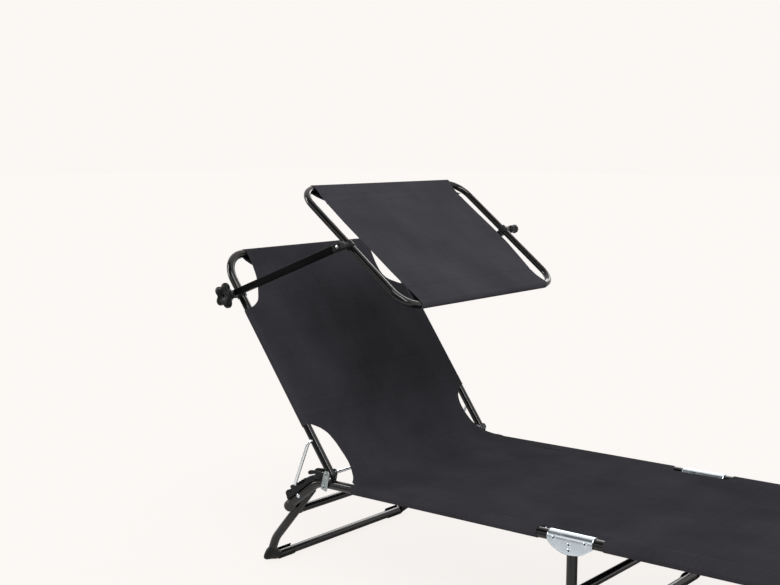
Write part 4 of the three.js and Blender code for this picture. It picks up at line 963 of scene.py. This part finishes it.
def panel_grid(cloth, runs, cols):
    """The flat part of a cloth: rows at these runs, each as wide as the cloth is there."""
    v = np.linspace(-1.0, 1.0, cols)[None]
    y = cloth.half(runs[:, None], v) * v
    run = np.repeat(runs[:, None], cols, axis=1)
    return cloth.point(run, y), y, run


def side_sleeve(runs, side, tube_r, place):
    """A sleeve round a side tube: from the tube's top round its outside and underneath, then back in
    under the cloth, past the stitch line. place turns a run, y and out from the tube to a point."""
    radius, flap = tube_r + CLOTH_GAP, 30.0
    angle = np.linspace(math.pi / 2, -math.pi * 0.42, 18)
    low = radius * math.sin(angle[-1])
    inner = np.linspace(0.0, 1.0, 7)[1:]
    inwards = radius * math.cos(angle[-1]) * (1 - inner) - flap * inner
    y = side * (HALF_WIDTH + np.concatenate([radius * np.cos(angle), inwards]))
    out = np.concatenate([radius * np.sin(angle), low + (radius - 1.6 - low) * inner ** 1.5])
    shape = (len(runs), len(y))
    run = np.repeat(runs[:, None], len(y), axis=1)
    across_mm = np.broadcast_to(side * (HALF_WIDTH + travelled(np.stack([y, out], axis=-1))), shape)
    return place(run, np.broadcast_to(y, shape), np.broadcast_to(out, shape)), across_mm, run


def level_sleeve(cloth, runs, side):
    """A sleeve round a side tube that lies level, under the cloth's centre line."""
    def place(run, y, out):
        """The place at a run of the cloth, y across and out from the tube's height."""
        return np.stack([np.interp(run, cloth.length, cloth.line[:, 0]), y, LYING + out], axis=-1)
    return side_sleeve(runs, side, RAIL_R, place)


def bar_wrap(radius, flap, gap, rows):
    """How cloth goes round a bar and is turned back inside: its distances along and out from the bar,
    first over half a turn, then along a flap that rises with the 1.4th power of the way."""
    turn = np.linspace(0.0, math.pi, rows)[1:]
    back = np.linspace(0.0, 1.0, 10)[1:]
    along = np.concatenate([radius * np.sin(turn), -flap * back])
    out = np.concatenate([radius * np.cos(turn), -radius + (2 * radius - gap) * back ** 1.4])
    return along, out


def rows_between(breaks, counts):
    """Evenly spaced rows from each break to the next, as many as its count says."""
    spans = zip(breaks, breaks[1:], counts)
    return np.concatenate([np.linspace(start, stop, count, endpoint=False) for start, stop, count in spans])


def stitch_row(cloth, runs, ys):
    """Stitches along a line on a cloth: short low humps with their long axis along the line."""
    pitch, length, width, lift = 5.0, 3.4, 0.9, 0.2625
    so_far = travelled(cloth.point(runs, ys))
    middles = np.arange(pitch / 2, so_far[-1] - length / 2, pitch)
    offsets = np.array([-0.5, -0.3, 0.0, 0.3, 0.5]) * length
    heights = np.array([0.0, 0.75, 1.0, 0.75, 0.0])
    where = middles[:, None] + offsets[None]
    run, y = np.interp(where, so_far, runs), np.interp(where, so_far, ys)
    low = cloth.point(run, y, lift)
    upward = unit(cloth.point(run, y, lift + 0.6) - low)
    along = unit(np.gradient(low, axis=1))
    sideways = np.cross(upward, along)
    spin = np.linspace(0.0, 2 * math.pi, 6, endpoint=False)[None, None, :, None]
    thin = np.maximum(np.sqrt(heights), 0.12)[None, :, None, None]
    body = (sideways[:, :, None] * np.cos(spin) * width / 2 + upward[:, :, None] * np.sin(spin) * 0.35) * thin
    grid = low[:, :, None] + upward[:, :, None] * 0.25 + body
    return [skin(one, around=True, caps=True) for one in grid]


def side_stitches(cloth, start, stop, count, side, inset):
    """Stitches along one side of a cloth between two runs: beside the tube, or inside the cloth's own
    edge by inset where that is nearer to the middle."""
    runs = np.linspace(start, stop, count)
    return stitch_row(cloth, runs, side * np.minimum(cloth.half(runs, side) - inset, SEAM_Y))


def ease(x, low, high):
    """Goes smoothly from 0 below low to 1 above high."""
    t = np.clip((x - low) / (high - low), 0.0, 1.0)
    return t * t * (3 - 2 * t)


def middle_sag(run, v):
    """Deepest in the middle of the width, and none at its edges."""
    return 7.0 * (1 - np.clip(np.abs(v), 0, 1) ** 2)


def shared_wave(x, y):
    """Long shallow waves that cross at a slant, and small puckers that die away from the side seams.
    x goes on along the cloth from the mid hinge, so that the three sheets meet at one height. Beside
    the hinge's saddles the edges hang down."""
    broad = 1.3 * np.sin(x / 61.0 + y / 143.0) * np.sin(y / 97.0 - x / 230.0)
    drawn = 1.3 * np.sin(x / 150.0 + y / 19.0) * np.sin(x / 90.0) * np.sin(y / 120.0 + 0.6)
    seam = np.exp(-((HALF_WIDTH - 30.0 - np.abs(y)) / 16.0) ** 2)
    pucker = 0.28 * np.sin(x / 3.7 + 1.7 * np.sin(x / 31.0)) * seam * ease(np.abs(x), 75.0, 110.0)
    beside = 9.0 * ease(np.abs(y), 253.0, 271.0) * (1 - ease(np.abs(x), 66.0, 75.0))
    return (broad + drawn + pucker) * np.clip((HALF_WIDTH - np.abs(y)) / 25.0, 0.0, 1.0) - beside


# Seat and backrest cloth

seat_z = LYING + RAIL_R + CLOTH_GAP
back_out = BACK_R + CLOTH_GAP
BEND_X = -560.0  # where the seat's cloth starts to bend up to the backrest
RAIL_SLEEVE_X = -576.0  # head end of the seat's side sleeves

seat_run = np.stack([np.linspace(SPLIT_X, BEND_X, 60), np.full(60, seat_z)], axis=-1)
low_back = on_back(SLEEVE_LOW, 0.0, back_out)
lean = (seat_z - low_back[2]) / math.sin(BACK_ANGLE)
meet = np.array([low_back[0] - lean * math.cos(BACK_ANGLE), seat_z])
b = np.linspace(0.0, 1.0, 48)[1:, None]
bend_start, bend_end = np.array([BEND_X, seat_z]), low_back[[0, 2]]
bend_run = (1 - b) ** 2 * bend_start + 2 * b * (1 - b) * meet + b ** 2 * bend_end
back_run = on_back(np.linspace(SLEEVE_LOW, BACK_LENGTH, 70)[1:], 0.0, back_out)[:, [0, 2]]
along, out = bar_wrap(back_out, FLAP, 1.8, 20)
top_wrap = on_back(BACK_LENGTH + along, 0.0, out)[:, [0, 2]]
lounge_line = np.concatenate([seat_run, bend_run, back_run, top_wrap])[::-1]


def run_on_back(s):
    """The run of the lounge's cloth at a place up the backrest."""
    return nearest_run(lounge_line, on_back(s, 0.0, back_out))


def run_on_seat(x):
    """The run of the lounge's cloth at a place on the seat."""
    return nearest_run(lounge_line, np.array([x, 0.0, seat_z]))


R_BAR = run_on_back(BACK_LENGTH)
R_SLEEVE_TOP, R_SLEEVE_LOW = run_on_back(SLEEVE_TOP), run_on_back(SLEEVE_LOW)
R_RAIL, R_END = run_on_seat(RAIL_SLEEVE_X), run_on_seat(SPLIT_X)
near_notch = ((559, 218.7), (538, 220.4), (511, 225), (490, 232), (474, 239.8), (460, 247.7), (446, 257),
              (437, 270), (432, 281), (SLEEVE_TOP, HALF_WIDTH))
far_notch = ((554, 208.6), (526, 204.5), (505, 201.5), (488, 201), (472, 204), (462, 210), (453, 221),
             (444.6, 238), (437, 256), (432, 275), (SLEEVE_TOP, HALF_WIDTH))
bend_notch = ((0, HALF_WIDTH), (3, 283), (10, 271), (19, 259.5), (30, 251), (43, 245.5), (60, 241.8),
              (79, 240.3), (96, 240.3), (111, 241.6), (125, 245.5), (138, 251.8), (150, 259), (159, 265.5),
              (168, 275), (173.5, 283))
lower_edge = [(R_SLEEVE_LOW + d, w) for d, w in bend_notch] + [(R_RAIL, HALF_WIDTH), (R_END, HALF_WIDTH)]
near_edge = [(0.0, 219.0), (R_BAR - 20.0, 219.0), (R_BAR, 219.0)]
near_edge += [(run_on_back(s), w) for s, w in near_notch] + lower_edge
far_edge = [(0.0, 210.0), (R_BAR, 210.0)] + [(run_on_back(s), w) for s, w in far_notch] + lower_edge


def lounge_sag(run, v):
    """The common sag; none where the cloth is held by the top bar."""
    return middle_sag(run, v) * ease(run, R_BAR + 10.0, R_BAR + 200.0)


def lounge_wave(run, y):
    """The shared waves, dying away towards the top bar."""
    return shared_wave(run - R_END + SPLIT_X, y) * ease(run, R_BAR + 30.0, R_BAR + 150.0)


lounge = Cloth(lounge_line, near_edge, lounge_sag, lounge_wave, far_edge)

COARSE = 1
COLUMNS = 110 // COARSE
counts = [count // COARSE for count in (10, 12, 60, 64, 64, 80)]
runs = rows_between([0.0, R_BAR - 30.0, R_BAR, R_SLEEVE_TOP, R_SLEEVE_LOW, R_RAIL, R_END], counts)
runs = np.unique(np.concatenate([runs, [R_END], lounge.near[0], lounge.far[0]]))
sleeve_back = runs[(runs >= R_SLEEVE_TOP) & (runs <= R_SLEEVE_LOW)]
sleeve_seat = runs[runs >= R_RAIL]


def place_back(run, y, out):
    """A sleeve's place round the backrest tube."""
    return on_back(BACK_LENGTH - (run - R_BAR), y, out)


grids = [panel_grid(lounge, runs, COLUMNS)]
for _, side in SIDES:
    grids.append(side_sleeve(sleeve_back, side, BACK_R, place_back))
    grids.append(level_sleeve(lounge, sleeve_seat, side))
lounge_cloth, lounge_area = cloth_piece("seat_and_back_cloth", grids, CLOTH, nodes=["seat_sling", "back_sling"])
blend_start = metres(on_back(112.0, 0.0, back_out))
blend_end = metres((-585.0, 0.0, seat_z))
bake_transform(lounge_cloth)


# Cloth over the mid hinge

def hinge_wave(run, y):
    """The shared waves, from where the seat's cloth ends."""
    return shared_wave(run + SPLIT_X, y)


HINGE_SLEEVE_X = -79.0  # foot end of its side sleeves
hinge_line = np.stack([np.linspace(SPLIT_X, 0.0, 80), np.full(80, seat_z)], axis=-1)
hinge_edge = [(x - SPLIT_X, w) for x, w in ((SPLIT_X, HALF_WIDTH), (HINGE_SLEEVE_X, HALF_WIDTH), (-78.0, 284.0),
                                            (-76.0, 280.0), (-73.0, 274.5), (-68.0, 271.0), (0.0, 271.0))]
hinge_cloth = Cloth(hinge_line, hinge_edge, middle_sag, hinge_wave)
runs = np.unique(np.concatenate([np.linspace(0.0, -SPLIT_X, 40), hinge_cloth.near[0]]))
sleeve_runs = runs[runs <= HINGE_SLEEVE_X - SPLIT_X]
grids = [panel_grid(hinge_cloth, runs, COLUMNS)]
grids += [level_sleeve(hinge_cloth, sleeve_runs, side) for _, side in SIDES]
seat_end_cloth, seat_end_area = cloth_piece("seat_end_cloth", grids, CLOTH)
tuple(metres((-20.0, 0.0, seat_z)))
tuple(metres((-60.0, 0.0, seat_z)))
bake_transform(seat_end_cloth)

# Foot cloth

FOOT_SLEEVE_X = (74.0, 538.0)  # ends of its side sleeves
foot_out = RAIL_R + CLOTH_GAP
along, out = bar_wrap(foot_out, FLAP, 1.8, 20)
foot_line = np.concatenate([np.stack([np.linspace(0.0, FOOT_BAR, 120), np.full(120, seat_z)], axis=-1),
                            np.stack([FOOT_BAR + along, LYING + out], axis=-1)])
past_end = FOOT_BAR + math.pi * foot_out + FLAP + 10.0
foot_edge = [(0.0, 271.0), (64.0, 271.0), (69.0, 274.5), (72.0, 280.0), (FOOT_SLEEVE_X[0], HALF_WIDTH),
             (FOOT_SLEEVE_X[1], HALF_WIDTH), (540.0, 283.0), (546.0, 268.0), (556.0, 250.0), (570.0, 234.0),
             (586.0, 222.0), (606.0, 213.0), (630.0, 208.0), (FOOT_BAR, 207.0), (past_end, 206.0)]


def foot_sag(run, v):
    """The common sag; none where the cloth is held by the foot bar."""
    return middle_sag(run, v) * ease(-run, -640.0, -440.0)


def foot_wave(run, y):
    """The shared waves, dying away towards the foot bar."""
    return shared_wave(run, y) * ease(-run, -620.0, -500.0)


foot_cloth = Cloth(foot_line, foot_edge, foot_sag, foot_wave)
runs = rows_between([0.0, *FOOT_SLEEVE_X, FOOT_BAR, foot_cloth.length[-1]], (24, 70, 50, 29))
runs = np.unique(np.concatenate([runs, foot_cloth.length[-1:], foot_cloth.near[0][:-1]]))
sleeve_runs = runs[(runs >= FOOT_SLEEVE_X[0]) & (runs <= FOOT_SLEEVE_X[1])]
grids = [panel_grid(foot_cloth, runs, COLUMNS)]
grids += [level_sleeve(foot_cloth, sleeve_runs, side) for _, side in SIDES]
foot_sheet, foot_area = cloth_piece("foot_cloth", grids, CLOTH, nodes=["foot_sling"])
tuple(metres((20.0, 0.0, seat_z)))
tuple(metres((60.0, 0.0, seat_z)))
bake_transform(foot_sheet)

# Canopy cloth

CANOPY_FLAP = 49.0
canopy_out = CANOPY_R + CLOTH_GAP
along, out = bar_wrap(canopy_out, CANOPY_FLAP, 1.7, 18)
upper_wrap = on_canopy(CANOPY_UP - along, 0.0, out)[::-1]
middle = on_canopy(np.linspace(CANOPY_UP, CANOPY_DOWN, 90), 0.0, canopy_out)
lower_wrap = on_canopy(CANOPY_DOWN + along, 0.0, out)
canopy_line = np.concatenate([upper_wrap, middle, lower_wrap])[:, [0, 2]]


def run_on_canopy(t):
    """The run of the canopy's cloth at a place down its slope."""
    return nearest_run(canopy_line, on_canopy(t, 0.0, canopy_out))


C_UP, C_DOWN, C_END = run_on_canopy(CANOPY_UP), run_on_canopy(CANOPY_DOWN), travelled(canopy_line)[-1]
near_slope = ((-155, 245.5), (-127, 248), (-70, 248.5), (-15, 247), (19, 245), (106, 242), (160, 241))
far_slope = ((-170, 240), (-155, 235.5), (-141, 234), (-73, 237), (0, 240.5), (38, 241), (75, 237.5), (108, 233),
             (140, 228), (165, 226), (182, 230))
canopy_near = [(0.0, 243.0), (C_UP - 20.0, 243.0), (C_UP, 243.0)]
canopy_near += [(run_on_canopy(t), w) for t, w in near_slope]
canopy_near += [(C_DOWN, 242.5), (C_DOWN + 20.0, 242.5), (C_END, 243.0)]
canopy_far = [(0.0, 244.0), (C_UP - 20.0, 244.5), (C_UP, 244.5)]
canopy_far += [(run_on_canopy(t), w) for t, w in far_slope]
canopy_far += [(C_DOWN, 235.0), (C_DOWN + 20.0, 236.0), (C_DOWN + 34.0, 231.0), (C_END, 225.0)]
SEAMS = (run_on_canopy(-154.0), run_on_canopy(-128.0), run_on_canopy(CANOPY_DOWN - CANOPY_FLAP))


def down_slope(run):
    """How far down the canopy's slope a run lies: 0 at the upper bar, 1 at the lower one."""
    return np.clip((run - C_UP) / (C_DOWN - C_UP), 0.0, 1.0)


def canopy_sag(run, v):
    """Deepest half way between the bars, and deeper at the two edges, which nothing holds up."""
    return 4.0 * np.sin(math.pi * down_slope(run)) * (0.55 + 0.45 * np.clip(np.abs(v), 0, 1) ** 2)


def canopy_wave(run, y):
    """Slack folds that run at a slant from the bars, and grooves and puckers along the stitch lines."""
    t = down_slope(run)
    folds = np.sin(y / 21.0 + run / 48.0 + 1.2 * np.sin(run / 70.0)) * np.sin(y / 90.0 + 0.7)
    broad = 0.9 * np.sin(run / 58.0 - y / 75.0)
    pucker = 0.0
    for line in SEAMS:
        pucker = pucker + 0.4 * np.sin(y / 4.1 + np.sin(y / 23.0)) * np.exp(-((run - line) / 8.0) ** 2)
        pucker = pucker - 0.9 * np.exp(-((run - line) / 2.4) ** 2)
    return (folds + broad) * np.sin(math.pi * t) ** 0.7 + pucker * (t > 0) * (t < 1)


canopy = Cloth(canopy_line, canopy_near, canopy_sag, canopy_wave, canopy_far)
counts = [count // COARSE for count in (10, 14, 150, 14, 10)]
runs = rows_between([0.0, C_UP - 28.0, C_UP, C_DOWN, C_DOWN + 28.0, C_END], counts)
seam_runs = [np.linspace(line - 6.0, line + 6.0, 11) for line in SEAMS]
runs = np.unique(np.concatenate([runs, *seam_runs, [C_END]]))
canopy_sheet, canopy_area = cloth_piece("canopy_cover", [panel_grid(canopy, runs, 150 // COARSE)], CANOPY_CLOTH_PAINTED_LIGHT,
                                        "canopy", ["canopy_cloth"])

# Stitching

top_seam = np.linspace(-212.0, 202.0, 84)
stitches = stitch_row(lounge, np.full(84, R_BAR + FLAP), top_seam)
lounge_spans = ((R_SLEEVE_TOP + 4.0, R_SLEEVE_LOW - 4.0, 120), (R_RAIL + 2.0, R_END, 120),
                (R_BAR + 2.0, R_SLEEVE_TOP, 160), (R_SLEEVE_LOW, R_RAIL, 200))
for _, side in SIDES:
    for start, stop, count in lounge_spans:
        stitches += side_stitches(lounge, start, stop, count, side, 9.0)
lounge_stitches = piece("seat_and_back_stitching", stitches, THREAD)
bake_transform(lounge_stitches)

stitches = []
for _, side in SIDES:
    stitches += side_stitches(hinge_cloth, 2.0, -2.0 - SPLIT_X, 90, side, 7.0)
hinge_stitches = piece("seat_end_stitching", stitches, THREAD)
tuple(metres((-20.0, 0.0, seat_z)))
tuple(metres((-60.0, 0.0, seat_z)))
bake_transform(hinge_stitches)

stitches = stitch_row(foot_cloth, np.full(84, FOOT_BAR - FLAP), top_seam * 0.94)
foot_spans = ((2.0, FOOT_SLEEVE_X[0], 60, 7.0), (76.0, 530.0, 120, 9.0), (534.0, 646.0, 120, 9.0))
for _, side in SIDES:
    for start, stop, count, inset in foot_spans:
        stitches += side_stitches(foot_cloth, start, stop, count, side, inset)
foot_stitches = piece("foot_stitching", stitches, THREAD)
tuple(metres((20.0, 0.0, seat_z)))
tuple(metres((60.0, 0.0, seat_z)))
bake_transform(foot_stitches)

stitches = []
for line, far_end in zip(SEAMS, (228.0, 228.0, 208.0)):
    stitches += stitch_row(canopy, np.full(90, line), np.linspace(-236.0, far_end, 90))
for _, side in SIDES:
    stitches += side_stitches(canopy, C_UP + 4.0, C_DOWN - 4.0, 120, side, 8.0)
piece("canopy_stitching", stitches, THREAD, "canopy")

# Floor, light and background

BACKGROUND = "#fbf7f4"


def background():
    """A room of even white light that the camera sees in the background's colour. Shiny surfaces see
    it dark high up and to the right on the near side, which gives the bright metal its contrast."""
    scene = bpy.context.scene
    scene.view_settings.view_transform = "Standard"
    world = bpy.data.worlds.new("pale_studio")
    world.use_nodes = True
    scene.world = world
    tree = world.node_tree
    tree.nodes.clear()
    path = add(tree, "ShaderNodeLightPath")
    way = add(tree, "ShaderNodeSeparateXYZ", {"Vector": add(tree, "ShaderNodeTexCoord").outputs["Generated"]})
    high = add(tree, "ShaderNodeMapRange", {"Value": way.outputs["Z"], "From Min": 0.36, "From Max": 0.52})
    above = add(tree, "ShaderNodeMapRange", {"Value": way.outputs["Z"], "From Min": 0.0, "From Max": 0.08})
    right = add(tree, "ShaderNodeMapRange", {"Value": way.outputs["X"], "From Min": -0.25, "From Max": 0.0})
    front = add(tree, "ShaderNodeMapRange", {"Value": way.outputs["Y"], "From Min": 0.0, "From Max": -0.2})
    wall = add(tree, "ShaderNodeMath", {0: above.outputs[0], 1: right.outputs[0]}, operation="MULTIPLY")
    both = add(tree, "ShaderNodeMath", {0: high.outputs[0], 1: wall.outputs[0]}, operation="MAXIMUM")
    dark = add(tree, "ShaderNodeMath", {0: both.outputs[0], 1: front.outputs[0]}, operation="MULTIPLY")
    ceiling = add(tree, "ShaderNodeMapRange", {"Value": dark.outputs[0], "To Min": 1.0, "To Max": 0.06})
    level = add(tree, "ShaderNodeMath", {0: path.outputs["Is Camera Ray"], 1: ceiling.outputs[0]},
                operation="MAXIMUM")
    seen = add(tree, "ShaderNodeMath", {0: path.outputs["Is Camera Ray"], 1: path.outputs["Is Glossy Ray"]},
               operation="MAXIMUM")
    seen = add(tree, "ShaderNodeMath", {0: seen.outputs[0], 1: path.outputs["Is Transmission Ray"]},
               operation="MAXIMUM")
    lit = add(tree, "ShaderNodeBackground", {"Color": linear("#ffffff"), "Strength": 0.62})
    shown = add(tree, "ShaderNodeBackground", {"Color": linear(BACKGROUND), "Strength": level.outputs[0]})
    mix = add(tree, "ShaderNodeMixShader", {0: seen.outputs[0], 1: lit.outputs[0], 2: shown.outputs[0]})
    add(tree, "ShaderNodeOutputWorld", {"Surface": mix.outputs[0]})


def pale_floor():
    """A floor that glows for the camera in the background's colour, so that no edge of it shows. Shiny
    surfaces see it go dark in front of the lounger."""
    reach = 30.0
    corners = [(-reach, -reach, 0), (reach, -reach, 0), (reach, reach, 0), (-reach, reach, 0)]
    mesh = bpy.data.meshes.new("pale_floor")
    mesh.from_pydata(corners, [], [(0, 1, 2, 3)])
    floor = bpy.data.objects.new("pale_floor", mesh)
    bpy.context.scene.collection.objects.link(floor)
    made, tree, shader, where = new_material("painted_studio_floor", Roughness=0.95, Specular_IOR_Level=0.0)
    shader.inputs["Base Color"].default_value = linear(BACKGROUND)
    path = add(tree, "ShaderNodeLightPath")
    glow = add(tree, "ShaderNodeEmission", {"Color": linear(BACKGROUND), "Strength": 1.02})
    share = add(tree, "ShaderNodeMath", {0: path.outputs["Is Camera Ray"], 1: 0.9}, operation="MULTIPLY")
    mix = add(tree, "ShaderNodeMixShader", {0: share.outputs[0], 1: shader.outputs[0], 2: glow.outputs[0]})
    place = add(tree, "ShaderNodeSeparateXYZ", {"Vector": where})
    front = add(tree, "ShaderNodeMapRange", {"Value": place.outputs["Y"], "From Min": -0.75, "From Max": -1.3,
                                             "To Max": 0.85})
    cut = add(tree, "ShaderNodeMath", {0: path.outputs["Is Glossy Ray"], 1: front.outputs[0]},
              operation="MULTIPLY")
    black = add(tree, "ShaderNodeEmission", {"Color": linear("#000000"), "Strength": 0.0})
    drop = add(tree, "ShaderNodeMixShader", {0: cut.outputs[0], 1: mix.outputs[0], 2: black.outputs[0]})
    tree.links.new(drop.outputs[0], tree.nodes["Material Output"].inputs["Surface"])
    mesh.materials.append(made)


def aimed(name, data, place, aim):
    """A lamp that points from its place at its aim: a tilt from straight down, then a turn."""
    light = bpy.data.objects.new(name, data)
    light.location = place
    way = np.array(aim, float) - np.array(place, float)
    tilt = math.atan2(math.hypot(way[0], way[1]), -way[2])
    light.rotation_euler = (tilt, 0.0, math.atan2(way[1], way[0]) - math.pi / 2)
    bpy.context.scene.collection.objects.link(light)
    return light


def gloss_strip(name, place, aim, width, height, power):
    """A long lamp that only glossy surfaces show, as a bright line along a tube."""
    data = bpy.data.lights.new(name, "AREA")
    data.shape = "RECTANGLE"
    data.size, data.size_y = width, height
    data.energy = power
    aimed(name, data, place, aim).visible_diffuse = False


background()
pale_floor()

key = bpy.data.lights.new("key_light", "SUN")
key.energy = 1.25
key.angle = math.radians(36.0)
aimed("key_light", key, (2.1, -1.7, 3.15), (0.0, 0.0, 0.0))
gloss_strip("left_strip", (-3.2, -1.7, 1.9), (-0.4, 0.0, 0.5), 0.6, 2.6, 40.0)
gloss_strip("right_strip", (2.4, -1.4, 2.0), (-0.3, 0.0, 0.4), 0.5, 2.6, 50.0)
gloss_strip("rear_strip", (-1.3, 2.8, 2.2), (-0.3, 0.0, 0.4), 3.0, 1.0, 40.0)
